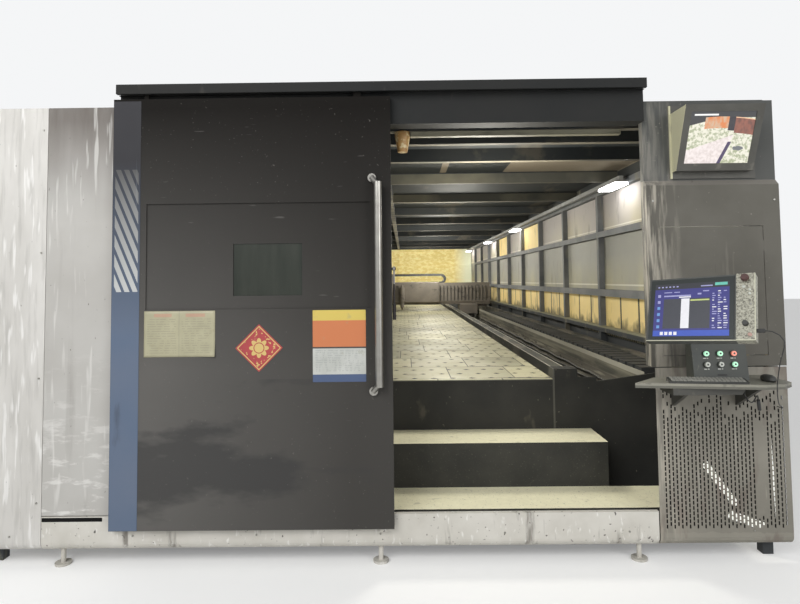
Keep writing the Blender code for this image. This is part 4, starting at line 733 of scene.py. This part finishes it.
def standAt(thing, placed):
    thing.matrix_world = placed
    settle(thing)
    return thing


def copied(first, name):
    made = first.copy()
    made.data = first.data.copy()
    made.name = name
    bpy.context.collection.objects.link(made)
    return made


def copiesAt(first, names, places):
    # each place gets a copy with its own mesh, and the model itself goes
    made = [standAt(copied(first, name), placed) for name, placed in zip(names, places)]
    bpy.data.meshes.remove(first.data)
    return made


# right column's lower panel: staggered slots and a rounded foot
skinValues = {"left": 1.573, "right": 2.318, "bottom": 0.094, "top": 1.084, "face": frontY - 0.0006,
              "thickness": 0.0025, "foot": 0.045, "slotWidth": 0.0088, "slotHeight": 0.0220,
              "acrossPitch": 0.0216, "upPitch": 0.0290, "area": (1.602, 2.296, 0.185, 0.925),
              "blank": (2.112, 2.176, 0.255, 0.780), "kept": 0.34}


def slotPlaces(values):
    # odd columns stand half a pitch higher, and the upper ends of the columns are ragged
    chance = random.Random(4)
    left, right, bottom, top = values["area"]
    blankLeft, blankRight, blankBottom, blankTop = values["blank"]
    columns = int((right - left) / values["acrossPitch"])
    rows = int((top - bottom) / values["upPitch"])
    places = []
    for column in range(columns):
        across = left + (column + 0.5) * values["acrossPitch"]
        full = rows - 2 - chance.randrange(4)
        for row in range(rows + 2):
            up = bottom + (row + 0.5 + 0.5 * (column % 2)) * values["upPitch"]
            inBlank = blankLeft < across < blankRight and blankBottom < up < blankTop
            if inBlank or (row >= full and chance.random() > values["kept"]):
                continue
            places.append((across, up))
    return places


def perforatedSkin(values):
    # lines are moved onto the slot edges, then the faces inside the slots come out
    places = slotPlaces(values)
    half, tall = values["slotWidth"] / 2, values["slotHeight"] / 2
    acrossLines = sorted({round(across + side * half, 5) for across, up in places for side in (-1, 1)})
    upLines = sorted({round(up + side * tall, 5) for across, up in places for side in (-1, 1)})
    acrossLines = [values["left"]] + acrossLines + [values["right"]]
    upLines = [values["bottom"] + values["foot"]] + upLines + [values["top"]]
    columns, rows = len(acrossLines) - 1, len(upLines) - 1
    deselect()
    bpy.ops.mesh.primitive_grid_add(x_subdivisions=columns, y_subdivisions=rows, size=1,
                                    rotation=(math.radians(90), 0, 0))
    made = named("perforatedSkin")
    for vertex in made.data.vertices:
        column, row = round((vertex.co.x + 0.5) * columns), round((vertex.co.z + 0.5) * rows)
        vertex.co = (acrossLines[column], values["face"], upLines[row])
    slotsOf = {}
    for across, up in places:
        slotsOf.setdefault(round(across, 3), []).append(up)

    def inSlot(face):
        middle = face.calc_center_median()
        return any(abs(middle.z - up) < tall for up in slotsOf.get(round(middle.x, 3), ()))

    pick(made, "FACE", inSlot)
    bpy.ops.mesh.delete(type="FACE")
    turnFoot(made, values["foot"])
    leaveEdit()
    inward = -1 if made.data.polygons[0].normal.y < 0 else 1
    applyModifier(made, "SOLIDIFY", thickness=values["thickness"], offset=inward)
    dress(made, "skinPaint")
    return made


def turnFoot(made, radius, steps=4):
    # the lower border turns back in short bends
    for step in range(steps):
        before, now = (math.radians(90 * turn / steps) for turn in (step, step + 1))
        low = min(vertex.co.z for vertex in bmesh.from_edit_mesh(made.data).verts)
        pick(made, "EDGE", lambda edge: all(abs(vertex.co.z - low) < 1e-5 for vertex in edge.verts))
        extrude((0, radius * (math.cos(before) - math.cos(now)), -radius * (math.sin(now) - math.sin(before))))


skin = perforatedSkin(skinValues)
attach(skin, "base")
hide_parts("perforated_panel")
litFinish("slotGlow", (0.90, 0.90, 0.84), 1.0)
wornFinish("slotShade", (0.006, 0.006, 0.006), (0.012, 0.012, 0.011), (0.7, 0.9), shine=0.1, bump=0.1)


def glowBand(start, end, width):
    # a lit band just inside the skin, seen only through the slots
    run = Vector((end[0] - start[0], 0, end[1] - start[1]))
    band = thinPlate("slotGlow", (0, 0, 0), (run.length, 0.002, width), "slotGlow", 0.004)
    middle = ((start[0] + end[0]) / 2, frontY + 0.012, (start[1] + end[1]) / 2)
    return standAt(band, placedAt(middle, ("Y", -math.degrees(math.atan2(run.z, run.x)))))


glowValues = (((1.838, 0.545), (2.010, 0.310), 0.038), ((1.965, 0.262), (2.165, 0.188), 0.046),
              ((2.213, 0.735), (2.233, 0.240), 0.010))
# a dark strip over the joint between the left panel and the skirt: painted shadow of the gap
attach(thinPlate("jointShadowStrip", (-1.746, frontY - 0.0007, 0.266), (0.344, 0.0008, 0.022), "slotShade"), "base")
# a near-black plate behind the slots: painted shade seen through them
shadePlate = thinPlate("slotShadePlate", (1.9475, frontY + 0.024, 0.56), (0.70, 0.003, 0.86), "slotShade", 0.005)
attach(shadePlate, "base")
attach(joined("slotGlow", [glowBand(*values) for values in glowValues]), "base")
print("slotted skin made")


# door: the side stripe and the papers ride on the sliding leaf
doorFace = frontY - 0.050
doorValues = {
    "stripe": dict(left=-1.5135, right=-1.355, bottom=0.2215, top=2.648, thick=0.0016, cut=0.004),
    "paper": dict(left=-1.326, right=-0.923, bottom=1.180, top=1.439, thick=0.0012, curl=0.010),
    "diamond": dict(side=0.190, thick=0.0012, cut=0.002),
    "label": dict(left=-0.370, right=-0.070, bottom=1.032, top=1.435, thick=0.0012, cut=0.003),
}


def stripeHatch(place, colour, shader):
    # white bars leaning over the blue, above eye height
    x, y, z = axes(place)
    lean = plus(z, times(x, 2.4))
    bars = times(below(fraction(divided(lean, 0.112)), 0.62), between(z, 1.55, 2.25), between(x, -1.5, -1.366))
    colour = mixed(bars, colour, (0.62, 0.63, 0.62))
    # the stripe darkens towards its top: painted shade
    return mixed(fade(z, 1.3, 2.3, 0.0, 0.95), colour, (0.022, 0.02, 0.021))


def paperLines(place, colour, shader):
    # a faded printed sheet, folded in the middle: rows of grey dashes with no letters in them
    x, y, z = axes(place)
    rows = below(fraction(divided(z, 0.0135)), 0.3)
    words = above(noise(place, 55.0, (1, 1, 0.45), 2.0), 0.46)
    margins = plus(between(x, -1.308, -1.142), between(x, -1.112, -0.945))
    text = times(rows, words, margins, between(z, 1.2, 1.395))
    colour = mixed(times(text, 0.38), colour, (0.16, 0.16, 0.13))
    title = times(between(z, 1.405, 1.424), plus(between(x, -1.27, -1.17), between(x, -1.09, -0.98)))
    colour = mixed(times(title, 0.35), colour, (0.55, 0.16, 0.13))
    # a darker line down the fold: painted shade in the crease
    return mixed(times(between(x, -1.1285, -1.1255), 0.6), colour, (0.2, 0.2, 0.16))


diamondPlace = placedAt((-0.674, doorFace, 1.226), ("Y", 45))


def goldOrnament(place, colour, shader):
    # an eight-leaved gold rosette inside a thin gold border, with small gold dots along it
    x, y, z = axes(localPlace(place, diamondPlace))
    far = maths("SQRT", plus(times(x, x), times(z, z)))
    angle = maths("ARCTAN2", z, x)
    leaf = times(absolute(maths("COSINE", times(angle, 4.0))), 0.022)
    rosette = below(far, plus(leaf, 0.034))
    ring = between(far, 0.026, 0.031)
    side = larger(absolute(x), absolute(z))
    border = between(side, 0.083, 0.088)
    dots = times(above(noise(place, 70.0, detail=1.0), 0.6), between(side, 0.06, 0.08))
    gold = larger(minus(rosette, ring), border, dots)
    return mixed(gold, colour, (0.58, 0.42, 0.15))


def labelBands(place, colour, shader):
    # four blank printed bands
    x, y, z = axes(place)
    low, tall = doorValues["label"]["bottom"], doorValues["label"]["top"] - doorValues["label"]["bottom"]
    for start, end, tone in ((0.855, 1.01, (0.58, 0.45, 0.10)), (0.487, 0.855, (0.52, 0.17, 0.065)),
                             (0.465, 0.487, (0.05, 0.04, 0.035)), (0.0, 0.105, (0.055, 0.085, 0.17))):
        colour = mixed(between(z, low + start * tall, low + end * tall), colour, tone)
    fine = below(fraction(divided(z, 0.0095)), 0.32)
    words = above(noise(place, 90.0, (1, 1, 0.3), 2.0), 0.5)
    band = times(between(z, low + 0.14 * tall, low + 0.44 * tall), between(x, -0.355, -0.085))
    return mixed(times(fine, words, band, 0.5), colour, (0.16, 0.17, 0.18))


paper = {"rough": (0.35, 0.6), "patchScale": 9, "grainScale": 300, "bump": 0.1}
paleStain = mark((0.3, 0.27, 0.17), 14, 0.62, 0.4, up=1)
wornFinish("stripePaint", (0.105, 0.14, 0.205), (0.12, 0.15, 0.21), (0.45, 0.65), 3,
           stain=mark((0.055, 0.06, 0.075), 9, 0.62, up=0.2), scratch=mark((0.26, 0.29, 0.33), 30, 0.7, 0.4),
           shine=0.2, grainScale=300, bump=0.1, pattern=stripeHatch)
wornFinish("noticePaper", (0.4, 0.375, 0.25), (0.33, 0.31, 0.205), stain=paleStain, pattern=paperLines, **paper)
wornFinish("redPaper", (0.4, 0.05, 0.052), (0.3, 0.04, 0.045), stain=mark((0.6, 0.3, 0.2), 14, 0.62, 0.3, up=1),
           pattern=goldOrnament, **paper)
wornFinish("bandLabel", (0.5, 0.51, 0.48), (0.42, 0.43, 0.4), stain=paleStain, pattern=labelBands, **paper)


def platePiece(name, values, finish):
    acrossAt, upAt, across, up = boxShape(values)
    centre = (acrossAt, doorFace - touch - values["thick"] / 2, upAt)
    size = (across, values["thick"], up)
    return thinPlate(name, centre, size, finish, values["cut"], soften=values["thick"] * 0.2)


def noticePaper(values):
    # a grid that stands off the door at its lower right corner and along its fold
    acrossAt, upAt, width, height = boxShape(values)
    deselect()
    bpy.ops.mesh.primitive_grid_add(x_subdivisions=28, y_subdivisions=18, size=1,
                                    location=(acrossAt, doorFace - touch, upAt),
                                    rotation=(math.radians(90), 0, 0))
    bpy.context.active_object.scale = (width, height, 1)
    made = named("noticePaper")
    for vertex in made.data.vertices:
        across, up = (vertex.co.x - values["left"]) / width, (vertex.co.z - values["bottom"]) / height
        corner = max(0.0, across - 0.72) / 0.28 * max(0.0, 0.35 - up) / 0.35
        fold = math.exp(-((across - 0.49) / 0.025) ** 2) * 0.25 * math.exp(-((up - 0.62) / 0.18) ** 2)
        vertex.co.y -= values["curl"] * (corner ** 1.5 + fold)
    applyModifier(made, "SOLIDIFY", thickness=values["thick"], offset=1)
    dress(made, "noticePaper")
    for face in made.data.polygons:
        face.use_smooth = True
    return made


def redDiamond(values):
    size = (values["side"], values["thick"], values["side"])
    made = thinPlate("redDiamond", (0, -touch - values["thick"] / 2, 0), size, "redPaper", values["cut"])
    return standAt(made, diamondPlace)


for piece in (platePiece("doorStripe", doorValues["stripe"], "stripePaint"), noticePaper(doorValues["paper"]),
              platePiece("bandLabel", doorValues["label"], "bandLabel"), redDiamond(doorValues["diamond"])):
    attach(piece, "door")
print("door papers made")


# console: the lit picture and the strip's buttons
deskTones = {"violet": (0.028, 0.028, 0.130), "canvas": (0.034, 0.036, 0.044), "dark": (0.020, 0.021, 0.026),
             "white": (0.50, 0.50, 0.52), "teal": (0.09, 0.33, 0.27), "line": (0.33, 0.38, 0.13),
             "blue": (0.030, 0.060, 0.290), "icon": (0.09, 0.20, 0.40), "pale": (0.22, 0.22, 0.38)}
deskPicture = [
    # left, bottom, right, top of each field as shares of the picture, and its tone
    (0.0, 0.0, 1.0, 1.0, "violet"), (0.0, 0.895, 1.0, 1.0, "dark"), (0.815, 0.930, 0.975, 0.984, "teal"),
    (0.63, 0.922, 0.785, 0.945, "pale"), (0.13, 0.140, 0.755, 0.705, "canvas"),
    (0.372, 0.145, 0.484, 0.705, "white"), (0.495, 0.655, 0.745, 0.682, "line"),
    (0.0, 0.0, 1.0, 0.105, "blue"), (0.13, 0.750, 0.50, 0.776, "pale"),
    (0.13, 0.825, 0.24, 0.842, "pale"), (0.27, 0.825, 0.35, 0.842, "pale"), (0.59, 0.770, 0.640, 0.800, "pale"),
    (0.66, 0.825, 0.74, 0.845, "pale"), (0.34, 0.722, 0.50, 0.744, "white"),
]
deskPicture += [(0.10 + 0.062 * place, 0.020, 0.142 + 0.062 * place, 0.080, "white") for place in range(4)]
deskPicture += [(0.045, 0.150 + 0.118 * row, 0.085, 0.205 + 0.118 * row, "icon" if row < 4 else "pale")
                for row in range(6)]
deskPicture += [(0.040 + 0.052 * place, 0.930, 0.066 + 0.052 * place, 0.955, "pale") for place in range(6)]
fieldChance = random.Random(11)
for row in range(17):
    for place in range(3):
        if fieldChance.random() < 0.70:
            start, low = 0.785 + 0.072 * place, 0.042 * row
            deskPicture.append((start, 0.135 + low, start + fieldChance.uniform(0.018, 0.060), 0.153 + low,
                                fieldChance.choice(("white", "pale", "pale"))))
for tone, colour in deskTones.items():
    litFinish("desk" + tone.title(), colour, 0.80)


def pictureField(fields, left, bottom, width, height, base=-0.0027, rise=0.00003):
    # every field is a thin plate, each a little prouder than the one before
    made = []
    for order, (x0, z0, x1, z1, tone) in enumerate(fields):
        centre = (left + width * (x0 + x1) / 2, base - rise * order, bottom + height * (z0 + z1) / 2)
        size = (width * (x1 - x0), rise * 0.7, height * (z1 - z0))
        made.append(thinPlate("consolePicture", centre, size, "desk" + tone.title(), 0.0004))
    return standAt(joined("consolePicture", made), consolePlace)


picture = pictureField(deskPicture, left=-0.213, bottom=-0.1475, width=0.348, height=0.285)
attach(picture, "console")


def stripButton(name, across, up, radius, finish, rise=0.005):
    made = disc(name, radius, rise)
    pickTop(made)
    for move in (-rise * 0.2, rise * 0.35):
        bpy.ops.mesh.inset(thickness=radius * 0.22)
        bpy.ops.transform.translate(value=(0, 0, move))
    leaveEdit()
    smoothSides(made, "Z")
    dress(made, finish)
    return standAt(made, consolePlace @ placedAt((across, -0.0062, up), ("X", 90)))


wornFinish("boltZinc", (0.42, 0.42, 0.39), (0.25, 0.24, 0.21), (0.35, 0.6), 80, metallic=0.7, bump=0.1)
wornFinish("stripRose", (0.5, 0.3, 0.25), (0.36, 0.24, 0.2), (0.35, 0.55), 70, bump=0.1)
for values in (("stripLampTop", 0.196, 0.099, 0.0075, "capWhite"),
               ("stripLampMiddle", 0.222, 0.081, 0.0055, "capWhite"),
               ("stripLampLow", 0.222, 0.062, 0.0055, "capWhite"),
               ("stripKey", 0.226, 0.008, 0.0055, "boltZinc"),
               ("stripRedMark", 0.222, -0.145, 0.0090, "stripRose")):
    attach(stripButton(*values), "console")
print("console picture made")

# button box: a dark eye in front of each cap, pale marks under it and the slot below
boxValues = {"centre": (1.8025, frontY - 0.265, 1.15265), "lean": math.degrees(math.atan2(0.03, 0.1947)),
             "pitch": (0.072, 0.056), "lift": 0.014, "markWidths": (0.010, 0.006, 0.008)}
boxPlace = placedAt(boxValues["centre"], ("X", 90 - boxValues["lean"]))
buttonPlaces = [boxPlace @ placedAt(((place % 3 - 1) * boxValues["pitch"][0],
                                     (0.5 - place // 3) * boxValues["pitch"][1] + boxValues["lift"], 0))
                for place in range(6)]


def boxPlate(name, across, up, width, height, finish, cut):
    return thinPlate(name, (across, up, 0.0006), (width, height, 0.0006), finish, cut, facing="Z")


capEye = disc("capEye", 0.0052, 0.0008, base=0.0164, vertices=18)
applyModifier(capEye, "BEVEL", width=0.0003, segments=2)
dress(capEye, "boxPaint")
for place, eye in enumerate(copiesAt(capEye, [f"capEye{place + 1}" for place in range(6)], buttonPlaces)):
    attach(eye, f"press_{place + 1}")
marks = [boxPlate("boxMark", 0.0095 * order + wide / 2 - 0.015, -0.0235, wide, 0.0042, "capWhite", 0.0008)
         for order, wide in enumerate(boxValues["markWidths"])]
marks = copiesAt(joined("boxMark", marks), ["boxMark"] * 6, buttonPlaces)
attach(joined("boxMarks", marks), "base")
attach(standAt(boxPlate("boxSlot", 0.004, -0.068, 0.050, 0.008, "rubber", 0.002), boxPlace), "base")

# keyboard: one key modelled, the rest are copies
keyValues = {"rows": 5, "columns": 19, "across": 0.0188, "deep": 0.0118, "size": (0.0160, 0.0096, 0.0042),
             "spaceAt": 6.5, "spaceScale": 4.4, "lean": math.degrees(math.atan2(0.012, 0.066))}
keyPlace = placedAt((1.70, frontY - 0.327, shelfTop + touch), ("Z", -8))
keyPlace = keyPlace @ placedAt((0, 0, 0.016), ("X", keyValues["lean"]))
wornFinish("keyPlastic", (0.19, 0.19, 0.17), (0.26, 0.255, 0.225), (0.4, 0.6), 60,
           stain=mark((0.22, 0.21, 0.18), 90, 0.6, up=1), bump=0.1)


def keyboardKeys(values):
    middle = values["size"][2] / 2 + touch
    deselect()
    bpy.ops.mesh.primitive_cube_add(size=1, location=(0, 0, middle), scale=values["size"])
    first = named("keyCaps")
    pickTop(first)
    bpy.ops.transform.resize(value=(0.80, 0.76, 1))
    bpy.ops.mesh.inset(thickness=0.0012)
    bpy.ops.transform.translate(value=(0, 0, -0.0006))
    leaveEdit()
    dress(first, "keyPlastic")

    def keyAt(column, row):
        return ((column - (values["columns"] - 1) / 2) * values["across"],
                (row - (values["rows"] - 1) / 2) * values["deep"], 0)

    keys = []
    for row in range(values["rows"]):
        for column in range(values["columns"]):
            if row == 0 and abs(column - values["spaceAt"]) < 2:
                continue
            key = copied(first, "keyCaps")
            key.location = keyAt(column, row)
            keys.append(key)
    # the first key becomes the space bar
    first.scale.x = values["spaceScale"]
    first.location = keyAt(values["spaceAt"], 0)
    settle(first)
    return standAt(joined("keyCaps", [first] + keys), keyPlace)


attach(keyboardKeys(keyValues), "base")
print("buttons and keys made")


# monitor: the bright picture with its dark band, two orange rolls and a dark diagonal
def shopPicture(place, colour, shader):
    # u and v run from 0 to 1 over the screen
    x, y, z = axes(localPlace(place, monitorPlace))
    width, height = monitor["screen"]
    u = divided(plus(x, width / 2), width)
    v = divided(plus(z, height / 2), height)
    fine = noise(place, 60.0)
    scrap = mixed(ramp(fine, 0.46, 0.6), (0.8, 0.78, 0.66), (0.4, 0.43, 0.28))
    ground = mixed(ramp(fine, 0.4, 0.7), (0.86, 0.78, 0.76), (0.66, 0.58, 0.55))
    line = plus(times(u, 0.44), 0.25)
    shade = mixed(above(v, line), ground, scrap)
    diagonal = minus(u, plus(times(v, 0.3), 0.535))
    beyond = times(above(diagonal, 0.0), below(v, 0.6))
    shade = mixed(beyond, shade, scrap)
    bar = times(below(absolute(diagonal), 0.028), below(v, 0.42))
    shade = mixed(bar, shade, (0.075, 0.055, 0.12))
    blotAcross, blotUp = minus(u, 0.8), minus(v, 0.29)
    blot = plus(times(blotAcross, blotAcross), times(blotUp, blotUp, 3.0), times(fine, 0.02))
    shade = mixed(below(blot, 0.016), shade, (0.16, 0.17, 0.18))
    dark = larger(above(v, plus(0.735, times(u, 0.33))), above(v, 0.885))
    shade = mixed(dark, shade, (0.045, 0.046, 0.05))
    bent = plus(v, times(minus(u, 0.5), minus(u, 0.5), 0.22))
    rolls = (((0.235, 0.600), (0.685, 0.905), (0.70, 0.24, 0.085), (0.62, 0.44, 0.30)),
             ((0.600, 0.700), (0.640, 0.905), (0.035, 0.032, 0.042), (0.05, 0.045, 0.05)),
             ((0.700, 1.01), (0.600, 0.900), (0.30, 0.115, 0.080), (0.17, 0.075, 0.060)))
    for (left, right), (low, high), bright, soft in rolls:
        body = times(between(u, left, right), between(bent, low, high))
        coat = mixed(ramp(noise(place, 45.0, (1, 1, 0.35)), 0.42, 0.62), bright, soft)
        shade = mixed(body, shade, coat)
    rim = times(between(u, 0.7, 1.01), between(bent, 0.888, 0.905))
    shade = mixed(rim, shade, (0.85, 0.52, 0.32))
    strip = times(between(u, 0.055, 0.425), between(v, 0.925, 0.957))
    shade = mixed(strip, shade, (0.9, 0.9, 0.88))
    feed(shader["Emission Color"], shade)
    feed(shader["Emission Strength"], 0.85)
    return mixed(0.75, shade, 0.02)


wornFinish("shopPicture", (0.5, 0.5, 0.5), (0.5, 0.5, 0.5), (0.25, 0.4), bump=0.03, pattern=shopPicture)
dress(nodes["monitor_screen"], "shopPicture")


# lamp trunking under the first roof beam: a channel with a shallow groove along its face
trunkingValues = {"left": 0.20, "right": 1.50, "depth": 0.050, "bottom": 2.488, "top": 2.5194, "distance": 0.24}
wornFinish("trunkingPaint", (0.27, 0.255, 0.185), (0.2, 0.19, 0.14), (0.5, 0.7), 3,
           stain=mark((0.09, 0.085, 0.065), 6, 0.58, 0.6, stretch=(0.4, 1, 1)), shine=0.3)


def lampTrunking(values):
    acrossAt, upAt, across, up = boxShape(values)
    centre, size = (acrossAt, frontY + values["distance"], upAt), (across, values["depth"], up)
    made = thinPlate("lampTrunking", centre, size, "trunkingPaint", 0.004, facing="X")
    pick(made, "FACE", lambda face: face.normal.y < -0.9)
    bpy.ops.mesh.inset(thickness=0.006)
    bpy.ops.transform.translate(value=(0, 0.003, 0))
    leaveEdit()
    return made


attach(lampTrunking(trunkingValues), "base")

# below the trough: a hanging apron with two hoses along it, dull with dust
apronValues = {"face": 1.8435, "thick": 0.003, "bottom": 0.600, "top": 0.7985, "start": 1.02, "end": 14.1,
               "hoses": ((0.745, 0.010), (0.690, 0.008)), "hoseSide": 1.8305, "hoseStep": 0.20,
               "hoseSag": 0.006, "hoseSteps": 64}
wornFinish("apronSteel", (0.21, 0.195, 0.155), (0.115, 0.105, 0.085), (0.6, 0.85), 3, patchStretch=(1, 0.2, 3),
           stain=mark((0.42, 0.39, 0.3), 16, 0.54, 0.6, stretch=(1, 0.1, 1.6)),
           speck=mark((0.03, 0.028, 0.024), 26, 0.6, 0.7, stretch=(1, 0.25, 1)), shine=0.2, bump=0.4)
wornFinish("hoseRubber", (0.055, 0.052, 0.045), (0.1, 0.095, 0.08), (0.6, 0.8), 5, patchStretch=(1, 0.3, 1),
           stain=mark((0.2, 0.185, 0.15), 20, 0.58, stretch=(1, 0.3, 1)), bump=0.3)


def troughApron(values):
    # a sheet whose lower edge turns out
    centre = (values["face"] + values["thick"] / 2, frontY + (values["start"] + values["end"]) / 2,
              (values["bottom"] + values["top"]) / 2)
    size = (values["thick"], values["end"] - values["start"], values["top"] - values["bottom"])
    made = thinPlate("troughApron", centre, size, "apronSteel", 0.010, facing="X")
    pick(made, "FACE", lambda face: face.normal.z < -0.9)
    extrude((0.014, 0, -0.010))
    leaveEdit()
    return made


def apronHose(height, radius, values):
    # rises and sinks a little along its way
    length, sag = values["hoseStep"], values["hoseSag"]
    centre = (values["hoseSide"], frontY + values["start"] + length / 2, height)
    deselect()
    bpy.ops.mesh.primitive_cylinder_add(vertices=12, radius=radius, depth=length, location=centre,
                                        rotation=(math.radians(90), 0, 0))
    made = named("apronHoses")
    for step in range(values["hoseSteps"]):
        far = max(vertex.co.y for vertex in made.data.vertices)
        pick(made, "FACE", lambda face: face.normal.y > 0.9 and face.calc_center_median().y > far - 0.001)
        extrude((0, length, sag if step % 4 > 1 else -sag))
        leaveEdit()
    smoothSides(made, "Y")
    dress(made, "hoseRubber")
    return made


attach(troughApron(apronValues), "base")
hoses = [apronHose(height, radius, apronValues) for height, radius in apronValues["hoses"]]
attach(joined("apronHoses", hoses), "base")
print("trunking and apron made")


# small fasteners: one head modelled for each row, the rest are copies
def boltHead(name, radius, rise):
    made = disc(name, radius, rise, base=touch)
    pickTop(made)
    bpy.ops.transform.resize(value=(0.82, 0.82, 1))
    bpy.ops.mesh.inset(thickness=radius * 0.34)
    extrude((0, 0, -rise * 0.6))
    leaveEdit()
    dress(made, "boltZinc")
    return made


def boltRow(name, depth, places, radius=0.006, rise=0.004):
    first = boltHead("boltHead", radius, rise)
    placed = [placedAt((across, depth, up), ("X", 90)) for across, up in places]
    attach(joined(name, copiesAt(first, [name] * len(placed), placed)), "base")


boltRow("columnBolts", frontY, ((-1.950, 0.36), (-1.950, 1.06), (-1.950, 1.78), (-1.950, 2.50), (1.592, 2.04),
                                (2.290, 2.04), (2.290, 1.14)))
boltRow("skirtBolts", frontY, [(-2.1 + 0.7 * place, 0.175) for place in range(7)])
boltRow("plateBolts", frontY + 0.0265, ((1.725, 2.185), (2.185, 2.185), (1.725, 2.585), (2.185, 2.585)),
        radius=0.004, rise=0.003)
print("bolts made")


# leads: the same knots as the solid leads, drawn finer
def smoothPath(knots, steps):
    ends = [2 * knots[0] - knots[1], *knots, 2 * knots[-1] - knots[-2]]
    path = []
    for a, b, c, d in zip(ends, ends[1:], ends[2:], ends[3:]):
        for step in range(steps):
            t = step / steps
            path.append(0.5 * (2 * b + (c - a) * t + (2 * a - 5 * b + 4 * c - d) * t ** 2
                               + (3 * b - a - 3 * c + d) * t ** 3))
    return path + [knots[-1]]


def evenPath(path, count):
    # the same line with points at even distances
    lengths = [0.0]
    for before, now in zip(path, path[1:]):
        lengths.append(lengths[-1] + (now - before).length)
    made, place = [], 0
    for step in range(count):
        target = lengths[-1] * step / (count - 1)
        while place < len(path) - 2 and lengths[place + 1] < target:
            place += 1
        span = lengths[place + 1] - lengths[place]
        made.append(path[place].lerp(path[place + 1], (target - lengths[place]) / span))
    return made, lengths[-1]


def leadCurve(name, points, radius):
    line = bpy.data.curves.new(name, "CURVE")
    line.dimensions = "3D"
    line.bevel_depth, line.bevel_resolution, line.use_fill_caps = radius, 3, True
    spline = line.splines.new("POLY")
    spline.points.add(len(points) - 1)
    for target, point in zip(spline.points, points):
        target.co = (*point, 1)
    made = bpy.data.objects.new(name, line)
    bpy.context.collection.objects.link(made)
    return made


leadValues = {
    "usb": dict(radius=0.0025, count=36, plug=0.032,
                knots=((1.845, -0.735, 1.31), (1.86, -0.67, 1.19), (1.975, -0.46, 1.05), (2.11, -0.25, 0.93),
                       (2.25, -0.06, 0.865), (2.255, -touch, 0.86))),
    "hanging": dict(radius=0.003, count=30, start=(1.925, frontY - 0.27, shelfTop - 0.025 - touch),
                    knots=((-0.008, -0.01, 0.05), (0.02, -0.02, 0.085), (0.05, -0.02, 0.05),
                           (0.06, -0.01, 0.075))),
}


def usbLead(values):
    # from the outer end of the plug in the console's right side
    exitPoint = consolePlace @ Vector((console["width"] / 2 + touch + values["plug"] + touch, 0.022, -0.115))
    outward = (consolePlace.to_3x3() @ Vector((1, 0, 0))).normalized()
    knots = [exitPoint, exitPoint + outward * values["radius"] * 8]
    knots += [Vector((x, frontY + y, z)) for x, y, z in values["knots"]]
    path, length = evenPath(smoothPath(knots, 8), values["count"])
    made = leadCurve("usbLead", path, values["radius"])
    select(made)
    bpy.ops.object.convert(target="MESH")
    made = bpy.context.active_object
    for face in made.data.polygons:
        face.use_smooth = True
    dress(made, "rubber")
    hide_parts("usb_lead")
    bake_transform(made)


def hangingLead(values):
    start = Vector(values["start"])
    knots = [start, start - Vector((0, 0, 4 * values["radius"]))]
    knots += [start + Vector((x, y, -z)) for x, y, z in values["knots"]]
    path, length = evenPath(smoothPath(knots, 8), values["count"])
    made = leadCurve("hangingLead", path, values["radius"])
    made.data.materials.append(finishes["rubber"])
    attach(made, "base")
    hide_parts("hanging_lead")


usbLead(leadValues["usb"])
hangingLead(leadValues["hanging"])
print("leads made")


# floor, lamps and world
studio = {"floor": (60, 60), "floorColour": (0.80, 0.80, 0.79), "floorLift": 0.22, "light": 0.42, "shown": 0.93,
          "glossy": 0.6, "sky": (0.98, 0.99, 1.0)}


def seenShare(tree, glossy):
    # 1 for what the camera sees, also through glass, and the given share in reflections
    seen = node(tree, "LightPath").outputs
    return larger(seen["Is Camera Ray"], seen["Is Transmission Ray"], times(seen["Is Glossy Ray"], glossy))


def makeFloor(values):
    deselect()
    bpy.ops.mesh.primitive_plane_add(size=1, location=(0, 0, -0.001))
    bpy.context.active_object.scale = (*values["floor"], 1)
    floor = named("floor")
    made, shader, place = newMaterial("floorPaint")
    colour = values["floorColour"]
    feed(shader["Base Color"], mixed(noise(place, 1.5), colour, [part * 0.96 for part in colour]))
    feed(shader["Roughness"], 0.8)
    feed(shader["Emission Color"], fullColour(1.0))
    feed(shader["Emission Strength"], times(seenShare(made.node_tree, 1.0), values["floorLift"]))
    floor.data.materials.append(made)


def makeWorld(values):
    world = bpy.data.worlds.new("softWorld")
    bpy.context.scene.world = world
    world.use_nodes = True
    background = world.node_tree.nodes["Background"].inputs
    feed(background["Color"], fullColour(values["sky"]))
    shown = seenShare(world.node_tree, values["glossy"])
    feed(background["Strength"], fade(shown, 0, 1, values["light"], values["shown"]))


def lamp(name, kind, place, power, colour=(1, 1, 1)):
    data = bpy.data.lights.new(name, kind)
    data.energy, data.color = power, colour
    made = bpy.data.objects.new(name, data)
    bpy.context.collection.objects.link(made)
    made.location = place
    return made


def areaLamp(name, place, aim, size, power):
    made = lamp(name, "AREA", place, power)
    made.data.shape = "RECTANGLE"
    made.data.size, made.data.size_y = size
    made.rotation_mode = "QUATERNION"
    made.rotation_quaternion = (Vector(aim) - Vector(place)).to_track_quat("-Z", "Y")


makeFloor(studio)
makeWorld(studio)
areaLamp("softKey", (-3.5, frontY - 6.0, 5.5), (0, frontY, 1.3), (5, 4), 420)
areaLamp("softFill", (4.5, frontY - 5.0, 3.0), (0.5, frontY, 1.2), (3, 3), 130)
cabinLamps = {"distances": (1.15, 3.9, 6.8, 9.6, 13.2), "powers": (54, 50, 62, 78, 78), "across": 0.80,
              "height": 2.10, "radius": 0.25, "colour": (1.0, 0.97, 0.88)}
for place, (distance, power) in enumerate(zip(cabinLamps["distances"], cabinLamps["powers"])):
    where = (cabinLamps["across"], frontY + distance, cabinLamps["height"])
    made = lamp(f"cabinLamp{place}", "POINT", where, power, cabinLamps["colour"])
    made.data.shadow_soft_size = cabinLamps["radius"]
    made.visible_camera = False
print("studio set")

bpy.context.scene.view_settings.view_transform = "Standard"
